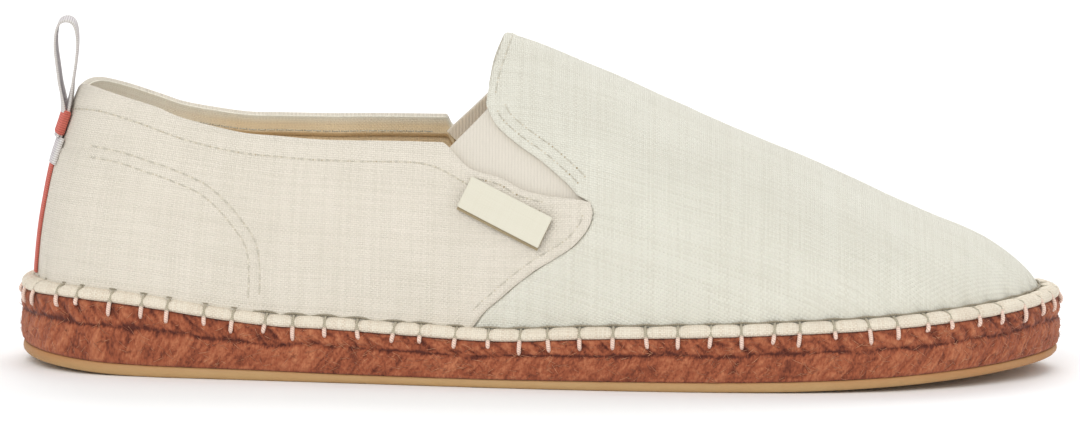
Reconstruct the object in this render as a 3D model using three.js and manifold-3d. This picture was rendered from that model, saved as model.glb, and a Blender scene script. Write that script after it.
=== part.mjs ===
// Slip-on espadrille for the right foot: braided jute sole on thin rubber, canvas upper, elastic side gores.
// Millimetres. +X points to the toe, -Y to the outer side of the foot, +Z up.
// The origin is on the floor, under the middle of the sole.
import * as THREE from 'three';
import { mergeVertices } from 'three/addons/utils/BufferGeometryUtils.js';
import Module from 'manifold-3d';

const wasm = await Module();
wasm.setup();

// Driving sizes of the shoe
const SOLE_LENGTH = 290;
const BALL_WIDTH = 98;
const RUBBER_THICKNESS = 3.2;
const JUTE_THICKNESS = 17;
const TOE_SPRING = 4.8;
const HEEL_SPRING = 2.8;
const INSTEP_HEIGHT = 80;
const BACK_HEIGHT = 58;

// Walls, folds and clearances
const WALL = 1.8;
const PANEL_STEP = 0.6;
const COUNTER_STEP = 0.4;
const HEM_HEIGHT = 3.4;
const LEDGE_WIDTH = 4.2;
const CLEARANCE = 0.3;
const GORE_RECESS = 0.8;
const GORE_THICKNESS = 1.0;
const INSOLE_THICKNESS = 2.2;

// Trims
const TAPE_WIDTH = 13;
const TAPE_THICKNESS = 0.9;
const LOOP_RISE = 27;
const LOOP_WIDTH = 7;
const LOOP_FOOT = 5.5;
const TAB_LENGTH = 24.6;
const TAB_WIDTH = 9;
const TAB_THICKNESS = 1.3;
const TAB_TILT = THREE.MathUtils.degToRad(-25);

// The braid that the sole is coiled from, and the groove across the rubber in front of the heel
const BRAID_PITCH = 9;
const BRAID_RIB = 0.75;
const BREAST_GROOVE_WIDTH = 3;
const BREAST_GROOVE_DEPTH = 1.2;
const RUBBER_INSET = 0.9;
const RUBBER_EDGE = 0.8;

const ROUND_STATIONS = 84;
const RUBBER_STATIONS = 64;
const WALL_ROWS = 12;
const FAR = 400;

// The last, a row for each station from the heel end to the toe tip. along is a share of SOLE_LENGTH;
// outer and inner are the sole's reach to each side, in shares of BALL_WIDTH; ledge is the share of
// LEDGE_WIDTH that the sole stands out past the upper; spine is where the section meets the ridge, as a
// share of SOLE_LENGTH; outerRound and innerRound are each side's roundness, 2 for an ellipse and less
// for a wall that leans in.
const LAST = [
  { along: 0.0, outer: 0.02, inner: -0.02, ledge: 1.2, spine: 0.168, outerRound: 1.75, innerRound: 1.75 },
  { along: 0.0206, outer: 0.208, inner: 0.175, ledge: 1.1, spine: 0.17, outerRound: 1.7, innerRound: 1.68 },
  { along: 0.066, outer: 0.308, inner: 0.28, ledge: 0.95, spine: 0.178, outerRound: 1.6, innerRound: 1.58 },
  { along: 0.13, outer: 0.35, inner: 0.318, ledge: 0.95, spine: 0.2, outerRound: 1.55, innerRound: 1.6 },
  { along: 0.22, outer: 0.383, inner: 0.318, ledge: 1.0, spine: 0.252, outerRound: 1.47, innerRound: 1.78 },
  { along: 0.34, outer: 0.424, inner: 0.304, ledge: 1.0, spine: 0.345, outerRound: 1.48, innerRound: 2.05 },
  { along: 0.46, outer: 0.468, inner: 0.331, ledge: 1.0, spine: 0.46, outerRound: 1.88, innerRound: 2.15 },
  { along: 0.57, outer: 0.494, inner: 0.408, ledge: 1.0, spine: 0.568, outerRound: 2.2, innerRound: 2.3 },
  { along: 0.67, outer: 0.5, inner: 0.479, ledge: 1.0, spine: 0.665, outerRound: 2.28, innerRound: 2.3 },
  { along: 0.76, outer: 0.49, inner: 0.5, ledge: 1.05, spine: 0.75, outerRound: 2.2, innerRound: 2.2 },
  { along: 0.84, outer: 0.439, inner: 0.479, ledge: 1.1, spine: 0.818, outerRound: 2.05, innerRound: 2.05 },
  { along: 0.91, outer: 0.337, inner: 0.413, ledge: 1.2, spine: 0.864, outerRound: 1.8, innerRound: 1.8 },
  { along: 0.96, outer: 0.209, inner: 0.311, ledge: 1.35, spine: 0.884, outerRound: 1.6, innerRound: 1.6 },
  { along: 0.99, outer: 0.072, inner: 0.189, ledge: 1.42, spine: 0.89, outerRound: 1.45, innerRound: 1.45 },
  { along: 1.0, outer: -0.06, inner: 0.06, ledge: 1.45, spine: 0.892, outerRound: 1.4, innerRound: 1.4 },
];

// Thickness of the two sole layers along the shoe, in shares of RUBBER_THICKNESS and JUTE_THICKNESS.
const STACK = [
  { along: 0.0, rubber: 1.0, jute: 0.86 },
  { along: 0.035, rubber: 1.0, jute: 0.965 },
  { along: 0.08, rubber: 1.0, jute: 1.0 },
  { along: 0.125, rubber: 1.0, jute: 0.955 },
  { along: 0.2, rubber: 0.94, jute: 0.8 },
  { along: 0.25, rubber: 0.88, jute: 0.735 },
  { along: 0.3, rubber: 0.8, jute: 0.73 },
  { along: 0.37, rubber: 0.75, jute: 0.68 },
  { along: 0.46, rubber: 0.75, jute: 0.625 },
  { along: 0.55, rubber: 0.8, jute: 0.69 },
  { along: 0.65, rubber: 0.85, jute: 0.73 },
  { along: 0.75, rubber: 0.88, jute: 0.775 },
  { along: 0.9, rubber: 0.82, jute: 0.795 },
  { along: 1.0, rubber: 0.75, jute: 0.8 },
];
const TOE_SPRING_START = 0.64;
const HEEL_SPRING_START = 0.14;

// The ridge over the foot: height over the jute in shares of INSTEP_HEIGHT, swing to the inner side in
// shares of BALL_WIDTH. Behind the throat it belongs to the last alone and is cut away.
const RIDGE = [
  { along: 0.168, height: 1.175, swing: -0.02 },
  { along: 0.25, height: 1.1, swing: -0.035 },
  { along: 0.345, height: 1.055, swing: -0.035 },
  { along: 0.42, height: 1.01, swing: -0.02 },
  { along: 0.472, height: 0.993, swing: 0.0 },
  { along: 0.55, height: 0.867, swing: 0.02 },
  { along: 0.627, height: 0.735, swing: 0.03 },
  { along: 0.704, height: 0.602, swing: 0.04 },
  { along: 0.782, height: 0.47, swing: 0.05 },
  { along: 0.859, height: 0.327, swing: 0.055 },
  { along: 0.892, height: 0.27, swing: 0.056 },
];

// Side-view lines: along in shares of SOLE_LENGTH, height over the heel seat in shares of BACK_HEIGHT.
const TOPLINE = [
  { along: 0.0, height: 0.9 },
  { along: 0.05, height: 0.975 },
  { along: 0.066, height: 1.0 },
  { along: 0.085, height: 0.985 },
  { along: 0.131, height: 0.924 },
  { along: 0.157, height: 0.875 },
  { along: 0.21, height: 0.814 },
  { along: 0.2455, height: 0.797 },
  { along: 0.293, height: 0.783 },
  { along: 0.348, height: 0.785 },
  { along: 0.4, height: 0.787 },
];
const INNER_TOPLINE = [
  { along: 0, height: 0.9 },
  { along: 0.05, height: 0.975 },
  { along: 0.066, height: 1.0 },
  { along: 0.085, height: 0.98 },
  { along: 0.131, height: 0.9 },
  { along: 0.157, height: 0.858 },
  { along: 0.21, height: 0.818 },
  { along: 0.2455, height: 0.8145 },
  { along: 0.293, height: 0.813 },
  { along: 0.348, height: 0.817 },
  { along: 0.4, height: 0.819 },
];
const THROAT = [
  { along: 0.446, height: 0.964 },
  { along: 0.451, height: 1.103 },
  { along: 0.4575, height: 1.198 },
  { along: 0.469, height: 1.34 },
];
const GORE_BACK_EDGE = [
  { along: 0.411, height: 0.769 },
  { along: 0.4324, height: 0.672 },
  { along: 0.462, height: 0.633 },
  { along: 0.4817, height: 0.583 },
  { along: 0.502, height: 0.56 },
  { along: 0.528, height: 0.546 },
];
const GORE_FRONT_EDGE = [
  { along: 0.534, height: 0.565 },
  { along: 0.526, height: 0.6086 },
  { along: 0.5134, height: 0.662 },
  { along: 0.498, height: 0.722 },
  { along: 0.4745, height: 0.798 },
  { along: 0.456, height: 0.876 },
  { along: 0.446, height: 0.964 },
];
const QUARTER_SEAM = [
  { along: 0.547, height: 0.53 },
  { along: 0.549, height: 0.478 },
  { along: 0.545, height: 0.412 },
  { along: 0.532, height: 0.331 },
  { along: 0.515, height: 0.271 },
  { along: 0.496, height: 0.212 },
  { along: 0.48, height: 0.15 },
  { along: 0.465, height: 0.0845 },
  { along: 0.445, height: -0.01 },
  { along: 0.428, height: -0.14 },
];
const COUNTER_SEAM = [
  { along: 0.069, height: 0.693 },
  { along: 0.0966, height: 0.676 },
  { along: 0.124, height: 0.636 },
  { along: 0.143, height: 0.607 },
  { along: 0.175, height: 0.543 },
  { along: 0.195, height: 0.4655 },
  { along: 0.209, height: 0.388 },
  { along: 0.2234, height: 0.281 },
  { along: 0.2269, height: 0.12 },
  { along: 0.224, height: -0.14 },
];
const TAB_CENTRE = { along: 0.467, height: 0.472 };
const BREAST = 0.258;
const TAPE_FOOT = 0.085;
const TAPE_TOP = 0.738;

// Side of the jute, from the rubber up: rise is a share of the jute's thickness, out is how far it stands
// past the outline, slant is the share of a braid pitch that the strands run back, rib is their share of
// BRAID_RIB. The row with no rib is the groove where the upper and lower strands meet.
const JUTE_SIDE = [
  { rise: 0.0, out: -1.1, slant: 0.0, rib: 0.0 },
  { rise: 0.12, out: -0.3, slant: 0.15, rib: 0.6 },
  { rise: 0.32, out: 0.0, slant: 0.4, rib: 1.0 },
  { rise: 0.52, out: -0.35, slant: 0.65, rib: 0.6 },
  { rise: 0.6, out: -1.1, slant: 0.8, rib: 0.0 },
  { rise: 0.68, out: -0.5, slant: 0.65, rib: 0.6 },
  { rise: 0.85, out: -0.3, slant: 0.3, rib: 0.8 },
  { rise: 1.0, out: -1.2, slant: 0.0, rib: 0.0 },
];

// Folded hem that rolls out over the jute: rise is a share of HEM_HEIGHT, out is past the outline.
const HEM_ROLL = [
  { rise: 0.0, out: -0.9 },
  { rise: 0.28, out: 0.1 },
  { rise: 0.62, out: -0.1 },
  { rise: 0.9, out: -1.3 },
  { rise: 1.0, out: -2.4 },
];
const HEM_GROOVE_RISE = 0.72;

// Smooth curve through one column of a table, read at any place along it.
function column(rows, name, places = rows.map((row) => row.along)) {
  const values = rows.map((row) => row[name]);
  const last = rows.length - 1;
  const slopes = rows.map((_, i) => {
    const before = Math.max(i - 1, 0);
    const after = Math.min(i + 1, last);
    return (values[after] - values[before]) / (places[after] - places[before]);
  });
  return (place) => {
    const x = THREE.MathUtils.clamp(place, places[0], places[last]);
    let i = 0;
    while (i < last - 1 && x > places[i + 1]) i += 1;
    const span = places[i + 1] - places[i];
    const s = (x - places[i]) / span;
    const rise = values[i + 1] - values[i];
    const bend = (slopes[i] * span - rise) * (1 - s) - (slopes[i + 1] * span - rise) * s;
    return values[i] + rise * s + bend * s * (1 - s);
  };
}

const stationNumbers = LAST.map((_, i) => i / (LAST.length - 1));
const ledgeAt = column(LAST, 'ledge', stationNumbers);
const spineAt = column(LAST, 'spine', stationNumbers);
const outerRoundAt = column(LAST, 'outerRound', stationNumbers);
const innerRoundAt = column(LAST, 'innerRound', stationNumbers);
const rubberAt = column(STACK, 'rubber');
const juteAt = column(STACK, 'jute');
const ridgeHeightAt = column(RIDGE, 'height');
const ridgeSwingAt = column(RIDGE, 'swing');

const toX = (along) => (along - 0.5) * SOLE_LENGTH;
const toAlong = (x) => x / SOLE_LENGTH + 0.5;
const SEAT = RUBBER_THICKNESS + JUTE_THICKNESS;

// Heights of the sole's layers over the floor, at a place along the shoe
function floorLift(along) {
  const toeRun = Math.max(0, along - TOE_SPRING_START) / (1 - TOE_SPRING_START);
  const heelRun = Math.max(0, HEEL_SPRING_START - along) / HEEL_SPRING_START;
  return TOE_SPRING * toeRun ** 2 + HEEL_SPRING * heelRun ** 2;
}
const rubberTop = (along) => floorLift(along) + RUBBER_THICKNESS * rubberAt(along);
const juteTop = (along) => rubberTop(along) + JUTE_THICKNESS * juteAt(along);

// Closed outline of the sole seen from above: heel end, outer side, toe tip, inner side.
const outline = new THREE.CatmullRomCurve3(
  [
    ...LAST.map((row) => new THREE.Vector3(toX(row.along), -row.outer * BALL_WIDTH, 0)),
    ...LAST.slice(1, -1).reverse().map((row) => new THREE.Vector3(toX(row.along), row.inner * BALL_WIDTH, 0)),
  ],
  true,
  'centripetal',
);

// A point of the outline moved outwards, at t from 0 to 1 round the shoe
function outlinePoint(t, out) {
  const tangent = outline.getTangent(t);
  return outline.getPoint(t).add(new THREE.Vector3(tangent.y, -tangent.x, 0).multiplyScalar(out));
}

function ring(count, at) {
  return Array.from({ length: count }, (_, j) => at(j / count));
}

// One closed solid from rings stacked upwards, capped between the outer and the inner side.
function solidOfRings(rings) {
  const count = rings[0].length;
  const corners = rings.flat().flatMap((p) => [p.x, p.y, p.z]);
  const faces = [];
  const quad = (a, b, c, d) => faces.push(a, b, c, a, c, d);
  for (let r = 0; r < rings.length - 1; r += 1) {
    for (let j = 0; j < count; j += 1) {
      const next = (j + 1) % count;
      quad(r * count + j, r * count + next, (r + 1) * count + next, (r + 1) * count + j);
    }
  }
  const top = (rings.length - 1) * count;
  for (let i = 0; i < count / 2; i += 1) {
    const inner = (count - i) % count;
    const innerNext = count - i - 1;
    quad(inner, innerNext, i + 1, i);
    quad(top + i, top + i + 1, top + innerNext, top + inner);
  }
  const geometry = new THREE.BufferGeometry();
  geometry.setAttribute('position', new THREE.Float32BufferAttribute(corners, 3));
  geometry.setIndex(faces);
  return cleaned(geometry);
}

// Merges shared vertices and leaves out the faces that this closes up.
function cleaned(geometry) {
  geometry.deleteAttribute('normal');
  geometry.deleteAttribute('uv');
  const merged = mergeVertices(geometry, 1e-3);
  const index = [...merged.index.array];
  const kept = [];
  for (let i = 0; i < index.length; i += 3) {
    const [a, b, c] = index.slice(i, i + 3);
    if (a !== b && b !== c && c !== a) kept.push(a, b, c);
  }
  merged.setIndex(kept);
  return merged;
}

function toManifold(geometry) {
  return new wasm.Manifold(
    new wasm.Mesh({
      numProp: 3,
      vertProperties: new Float32Array(geometry.attributes.position.array),
      triVerts: new Uint32Array(geometry.index.array),
    }),
  );
}

function toGeometry(solid) {
  const mesh = solid.getMesh();
  const geometry = new THREE.BufferGeometry();
  geometry.setAttribute('position', new THREE.BufferAttribute(new Float32Array(mesh.vertProperties), 3));
  geometry.setIndex(new THREE.BufferAttribute(new Uint32Array(mesh.triVerts), 1));
  geometry.computeVertexNormals();
  return geometry;
}

// A side-view outline carried straight across the shoe, from nearY to farY.
function sidePrism(points, nearY, farY) {
  const slab = new THREE.ExtrudeGeometry(new THREE.Shape(points), { depth: farY - nearY, bevelEnabled: false });
  return toManifold(cleaned(slab.rotateX(Math.PI / 2).translate(0, farY, 0)));
}

const sidePoint = (row) => new THREE.Vector2(toX(row.along), SEAT + row.height * BACK_HEIGHT);
const sideCurve = (rows, steps) => new THREE.SplineCurve(rows.map(sidePoint)).getPoints(steps);

// Thin rubber outsole, grooved across in front of the heel
function makeOutsole() {
  const level = (out, heightAt) =>
    ring(RUBBER_STATIONS, (t) => {
      const p = outlinePoint(t, out);
      return p.setZ(heightAt(toAlong(p.x)));
    });
  const slab = solidOfRings([
    level(-RUBBER_INSET - RUBBER_EDGE, floorLift),
    level(-RUBBER_INSET, (along) => floorLift(along) + RUBBER_EDGE),
    level(-RUBBER_INSET, (along) => rubberTop(along) - CLEARANCE),
  ]);
  const breastX = toX(BREAST);
  const groove = sidePrism(
    [
      new THREE.Vector2(breastX - BREAST_GROOVE_WIDTH / 2, -1),
      new THREE.Vector2(breastX + BREAST_GROOVE_WIDTH / 2, -1),
      new THREE.Vector2(breastX + BREAST_GROOVE_WIDTH / 4, BREAST_GROOVE_DEPTH),
      new THREE.Vector2(breastX - BREAST_GROOVE_WIDTH / 4, BREAST_GROOVE_DEPTH),
    ],
    -BALL_WIDTH,
    BALL_WIDTH,
  );
  return toManifold(slab).subtract(groove);
}

// Coiled jute braid: two rows of slanting strands that meet in a groove round the side
function makeJuteSole() {
  const ribs = Math.round(outline.getLength() / BRAID_PITCH);
  const count = ribs * 2;
  const rings = JUTE_SIDE.map((row) =>
    Array.from({ length: count }, (_, j) => {
      const t = (j - row.slant * 2 + count) / count % 1;
      const at = outline.getPointAt(t);
      const tangent = outline.getTangentAt(t);
      const crest = j % 2 === 0 ? 0 : -1;
      const out = row.out + crest * BRAID_RIB * row.rib;
      const p = new THREE.Vector3(at.x + tangent.y * out, at.y - tangent.x * out, 0);
      const along = toAlong(p.x);
      return p.setZ(THREE.MathUtils.lerp(rubberTop(along), juteTop(along), row.rise));
    }),
  );
  return toManifold(solidOfRings(rings));
}

// A point of the upper's outer face: climb runs from 0 at the hem to 1 at the ridge.
function wallPoint(t, climb) {
  const station = t <= 0.5 ? 2 * t : 2 - 2 * t;
  const foot = outlinePoint(t, -ledgeAt(station) * LEDGE_WIDTH);
  foot.z = juteTop(toAlong(foot.x)) + HEM_HEIGHT * HEM_GROOVE_RISE;
  const spine = spineAt(station);
  const crown = new THREE.Vector3(
    toX(spine),
    ridgeSwingAt(spine) * BALL_WIDTH,
    juteTop(spine) + ridgeHeightAt(spine) * INSTEP_HEIGHT,
  );
  const power = 2 / (t <= 0.5 ? outerRoundAt : innerRoundAt)(station);
  const across = Math.max(0, Math.cos((climb * Math.PI) / 2)) ** power;
  const up = Math.sin((climb * Math.PI) / 2) ** power;
  return new THREE.Vector3(
    THREE.MathUtils.lerp(crown.x, foot.x, across),
    THREE.MathUtils.lerp(crown.y, foot.y, across),
    THREE.MathUtils.lerp(foot.z, crown.z, up),
  );
}

// The last's own form with a skirt down through the sole, to be moved out or in by a wall's depth.
function makeLastForm() {
  const skirt = ring(ROUND_STATIONS, (t) => wallPoint(t, 0).setZ(-SEAT));
  const rows = Array.from({ length: WALL_ROWS + 1 }, (_, r) =>
    ring(ROUND_STATIONS, (t) => wallPoint(t, r / WALL_ROWS)),
  );
  const form = solidOfRings([skirt, ...rows]);
  form.computeVertexNormals();
  return form;
}
const lastForm = makeLastForm();

function lastMovedOut(depth) {
  const moved = lastForm.clone();
  const { position, normal } = moved.attributes;
  for (let i = 0; i < position.count; i += 1) {
    position.setXYZ(
      i,
      position.getX(i) + normal.getX(i) * depth,
      position.getY(i) + normal.getY(i) * depth,
      position.getZ(i) + normal.getZ(i) * depth,
    );
  }
  moved.deleteAttribute('normal');
  return toManifold(moved);
}

const shellBetween = (outerDepth, innerDepth) => lastMovedOut(outerDepth).subtract(lastMovedOut(innerDepth));

// Everything over the jute's top, a clearance above it
function makeOverJute() {
  const margin = LEDGE_WIDTH;
  const level = (heightAt) =>
    ring(ROUND_STATIONS, (t) => {
      const p = outlinePoint(t, margin);
      return p.setZ(heightAt(toAlong(p.x)));
    });
  return toManifold(solidOfRings([level((along) => juteTop(along) + CLEARANCE), level(() => FAR)]));
}

const SIDES = { outer: [-BALL_WIDTH, 0], inner: [0, BALL_WIDTH] };

// The space over the topline and behind the throat, where the foot goes in
function makeTopOpening(lowered = 0) {
  const overOneSide = (topline, nearY, farY) => {
    const line = [
      ...sideCurve(topline, 30),
      sidePoint(GORE_BACK_EDGE[0]),
      ...sideCurve(THROAT, 8),
    ].map((p) => new THREE.Vector2(p.x + lowered, p.y - lowered));
    const last = line[line.length - 1];
    const corners = [
      new THREE.Vector2(-FAR, line[0].y),
      ...line,
      new THREE.Vector2(last.x, FAR),
      new THREE.Vector2(-FAR, FAR),
    ];
    return sidePrism(corners, nearY, farY);
  };
  return overOneSide(TOPLINE, ...SIDES.outer).add(overOneSide(INNER_TOPLINE, ...SIDES.inner));
}

// Moves each corner of a side-view outline outwards by the same amount.
function grown(points, by) {
  const count = points.length;
  const turn = Math.sign(THREE.ShapeUtils.area(points));
  return points.map((p, i) => {
    const before = points[(i + count - 1) % count];
    const after = points[(i + 1) % count];
    const inDirection = p.clone().sub(before).normalize();
    const outDirection = after.clone().sub(p).normalize();
    const normal = inDirection.add(outDirection).normalize();
    return new THREE.Vector2(p.x + normal.y * by * turn, p.y - normal.x * by * turn);
  });
}

// Window of one gore in side view, carried up past the topline
function goreOutline() {
  const back = sideCurve(GORE_BACK_EDGE, 8);
  const front = sideCurve(GORE_FRONT_EDGE, 9);
  const lift = BACK_HEIGHT * 0.2;
  const behind = back[0].clone().add(new THREE.Vector2(-lift, lift * 0.9));
  const ahead = front[front.length - 1].clone().add(new THREE.Vector2(0, lift * 2));
  return [...back, ...front, ahead, behind];
}

const overJute = makeOverJute();
const topOpening = makeTopOpening();

// Canvas upper: vamp, quarters and counter in one wall, with the hem rolled out over the jute
function makeUpper() {
  const vampAndLining = lastMovedOut(0);
  const quarterRegion = sidePrism(
    [
      ...sideCurve(GORE_BACK_EDGE, 8),
      ...sideCurve(QUARTER_SEAM, 14),
      new THREE.Vector2(toX(0.42), -SEAT),
      new THREE.Vector2(-FAR, -SEAT),
      new THREE.Vector2(-FAR, FAR),
      new THREE.Vector2(toX(GORE_BACK_EDGE[0].along), FAR),
    ],
    -BALL_WIDTH,
    BALL_WIDTH,
  );
  const counterTop = SEAT + COUNTER_SEAM[0].height * BACK_HEIGHT;
  const counterRegion = sidePrism(
    [
      new THREE.Vector2(-FAR, counterTop),
      ...sideCurve(COUNTER_SEAM, 14),
      new THREE.Vector2(-FAR, sidePoint(COUNTER_SEAM[COUNTER_SEAM.length - 1]).y),
    ],
    -BALL_WIDTH,
    BALL_WIDTH,
  );
  const level = (row) =>
    ring(ROUND_STATIONS, (t) => {
      const p = outlinePoint(t, row.out);
      return p.setZ(juteTop(toAlong(p.x)) + HEM_HEIGHT * row.rise);
    });
  const grooveLevel = ring(ROUND_STATIONS, (t) => {
    const p = wallPoint(t, 0).lerp(outlinePoint(t, -LEDGE_WIDTH - WALL), 0.15);
    return p.setZ(juteTop(toAlong(p.x)) + HEM_HEIGHT * HEM_GROOVE_RISE);
  });
  const hem = toManifold(solidOfRings([...HEM_ROLL.map(level), grooveLevel]));
  let upper = vampAndLining
    .add(lastMovedOut(PANEL_STEP).intersect(quarterRegion))
    .add(lastMovedOut(PANEL_STEP + COUNTER_STEP).intersect(counterRegion))
    .add(hem)
    .intersect(overJute)
    .subtract(lastMovedOut(-WALL))
    .subtract(topOpening);
  const window = grown(goreOutline(), CLEARANCE);
  Object.values(SIDES).forEach(([nearY, farY]) => {
    upper = upper.subtract(sidePrism(window, nearY, farY));
  });
  return upper;
}

// Elastic gore: a thin panel set back in its window between vamp and quarter
function makeGore([nearY, farY]) {
  return shellBetween(-GORE_RECESS, -GORE_RECESS - GORE_THICKNESS)
    .intersect(sidePrism(goreOutline(), nearY, farY))
    .subtract(makeTopOpening(CLEARANCE));
}

// Sock insole inside the upper, on the jute
function makeInsole() {
  const level = (heightOver) =>
    ring(RUBBER_STATIONS, (t) => {
      const station = t <= 0.5 ? 2 * t : 2 - 2 * t;
      const p = outlinePoint(t, -ledgeAt(station) * LEDGE_WIDTH - WALL - 2 * CLEARANCE);
      return p.setZ(juteTop(toAlong(p.x)) + heightOver);
    });
  return toManifold(solidOfRings([level(CLEARANCE), level(CLEARANCE + INSOLE_THICKNESS)]));
}

const COUNTER_FACE = PANEL_STEP + COUNTER_STEP;

// Woven tape sewn up the middle of the heel
function makeHeelTape() {
  const low = SEAT + TAPE_FOOT * BACK_HEIGHT;
  const high = SEAT + TAPE_TOP * BACK_HEIGHT;
  const region = new THREE.BoxGeometry(SOLE_LENGTH / 4, TAPE_WIDTH, high - low);
  region.translate(toX(0), -0.02 * BALL_WIDTH, (low + high) / 2);
  return shellBetween(COUNTER_FACE + CLEARANCE + TAPE_THICKNESS, COUNTER_FACE + CLEARANCE)
    .intersect(toManifold(cleaned(region)));
}

// How far back the heel reaches at a height, by halving the climb
function heelBackX(z) {
  let low = 0;
  let high = 1;
  for (let i = 0; i < 24; i += 1) {
    const middle = (low + high) / 2;
    if (wallPoint(0, middle).z < z) low = middle;
    else high = middle;
  }
  return wallPoint(0, low).x;
}

// Pull loop: the tape doubled into a tall teardrop, its foot sewn to the heel above the tape
function makePullLoop() {
  const footZ = SEAT + TAPE_TOP * BACK_HEIGHT + 2 * CLEARANCE;
  const seatX = (z) => heelBackX(z) - COUNTER_FACE - CLEARANCE - TAPE_THICKNESS / 2;
  const neckZ = footZ + LOOP_FOOT;
  const topZ = neckZ + LOOP_RISE;
  const apexX = seatX(neckZ) + LOOP_WIDTH * 0.07;
  const half = (LOOP_WIDTH - TAPE_THICKNESS) / 2;
  const leg = (side) => [
    new THREE.Vector2(seatX(footZ) - (side < 0 ? TAPE_THICKNESS * 0.9 : 0), footZ),
    new THREE.Vector2(seatX(neckZ) - (side < 0 ? TAPE_THICKNESS * 0.9 : 0), neckZ),
    new THREE.Vector2(apexX + side * half * 0.62, neckZ + LOOP_RISE * 0.36),
    new THREE.Vector2(apexX + side * half, neckZ + LOOP_RISE * 0.72),
    new THREE.Vector2(apexX + side * half * 0.72, neckZ + LOOP_RISE * 0.93),
    new THREE.Vector2(apexX - side * TAPE_THICKNESS * 0.1, topZ),
  ];
  const ribbon = (side) => {
    const line = new THREE.SplineCurve(leg(side));
    const steps = 14;
    const edge = (out) =>
      Array.from({ length: steps + 1 }, (_, i) => {
        const tangent = line.getTangent(i / steps);
        return line.getPoint(i / steps).add(new THREE.Vector2(tangent.y, -tangent.x).multiplyScalar(out));
      });
    const shape = [...edge(TAPE_THICKNESS / 2), ...edge(-TAPE_THICKNESS / 2).reverse()];
    const middleY = -0.02 * BALL_WIDTH;
    return sidePrism(shape, middleY - TAPE_WIDTH / 2, middleY + TAPE_WIDTH / 2);
  };
  return ribbon(-1).add(ribbon(1));
}

// Small folded label over the gore's lower seam, on the outer side
function makeSideTab() {
  const centre = sidePoint(TAB_CENTRE);
  const corners = [
    [-1, -1],
    [1, -1],
    [1, 1],
    [-1, 1],
  ].map(([a, b]) =>
    new THREE.Vector2((a * TAB_LENGTH) / 2, (b * TAB_WIDTH) / 2).rotateAround(new THREE.Vector2(), TAB_TILT).add(centre),
  );
  const face = PANEL_STEP + CLEARANCE;
  return shellBetween(face + TAB_THICKNESS, face).intersect(sidePrism(corners, ...SIDES.outer));
}

const FINISH = {
  canvas: new THREE.MeshStandardMaterial({ color: 0xe2ddcc, roughness: 0.92 }),
  elastic: new THREE.MeshStandardMaterial({ color: 0xe2d9cb, roughness: 0.85 }),
  jute: new THREE.MeshStandardMaterial({ color: 0x97503a, roughness: 0.95 }),
  rubber: new THREE.MeshStandardMaterial({ color: 0xb98c54, roughness: 0.6 }),
  sock: new THREE.MeshStandardMaterial({ color: 0xc4b08a, roughness: 0.9 }),
  tape: new THREE.MeshStandardMaterial({ color: 0xc4543f, roughness: 0.8 }),
  palerTape: new THREE.MeshStandardMaterial({ color: 0xe4dfdc, roughness: 0.8 }),
  label: new THREE.MeshStandardMaterial({ color: 0xe9e4d0, roughness: 0.8 }),
};

function named(name, solid, material) {
  const mesh = new THREE.Mesh(toGeometry(solid), material);
  mesh.name = name;
  return mesh;
}

const shoe = new THREE.Group();
shoe.name = 'espadrille';
shoe.add(
  named('outsole', makeOutsole(), FINISH.rubber),
  named('jute_sole', makeJuteSole(), FINISH.jute),
  named('insole', makeInsole(), FINISH.sock),
  named('upper', makeUpper(), FINISH.canvas),
  named('gore_outer', makeGore(SIDES.outer), FINISH.elastic),
  named('gore_inner', makeGore(SIDES.inner), FINISH.elastic),
  named('heel_tape', makeHeelTape(), FINISH.tape),
  named('pull_loop', makePullLoop(), FINISH.palerTape),
  named('side_tab', makeSideTab(), FINISH.label),
);

export default shoe;
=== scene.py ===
"""Dressed model of a canvas slip-on espadrille on a braided jute sole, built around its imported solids."""

import math
import random

import bmesh
import bpy
import numpy as np
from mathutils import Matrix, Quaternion, Vector


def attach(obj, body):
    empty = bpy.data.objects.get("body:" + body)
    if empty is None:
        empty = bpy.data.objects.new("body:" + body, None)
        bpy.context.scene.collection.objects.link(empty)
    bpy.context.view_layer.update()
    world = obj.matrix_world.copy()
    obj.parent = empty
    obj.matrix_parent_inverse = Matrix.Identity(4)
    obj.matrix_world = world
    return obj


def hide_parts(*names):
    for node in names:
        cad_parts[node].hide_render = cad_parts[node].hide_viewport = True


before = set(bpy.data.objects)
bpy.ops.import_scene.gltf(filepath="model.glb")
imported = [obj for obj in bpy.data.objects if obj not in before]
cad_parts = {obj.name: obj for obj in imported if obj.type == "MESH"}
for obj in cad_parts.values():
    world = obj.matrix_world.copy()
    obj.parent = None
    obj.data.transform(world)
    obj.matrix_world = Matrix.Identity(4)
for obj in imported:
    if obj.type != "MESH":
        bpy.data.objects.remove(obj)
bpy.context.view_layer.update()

MM = 0.001

# Rubber outsole
# A thin sheet of honey-coloured crepe rubber, cut to the outline of the sole and cemented under the
# jute. Its edge shows all round as a pale band, a little thicker under the heel.
SOLE_LENGTH = 290 * MM
BALL_WIDTH = 98 * MM
RUBBER_THICKNESS = 3.2 * MM
JUTE_THICKNESS = 17 * MM
TOE_SPRING = 4.8 * MM
HEEL_SPRING = 2.8 * MM
TOE_SPRING_START = 0.64
HEEL_SPRING_START = 0.14
SOLE_COLUMNS = 520
UNDERSIDE_ROWS = 44
BREAST = 0.258
BREAST_WIDTH = 3 * MM
BREAST_DEPTH = 1.2 * MM
RUBBER_HONEY = (180, 147, 99)
RUBBER_BROWN = (168, 114, 66)


def table(columns, rows):
    """A short table as one array for each named column."""
    return {name: np.array(values) for name, values in zip(columns.split(), zip(*rows))}


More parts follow.
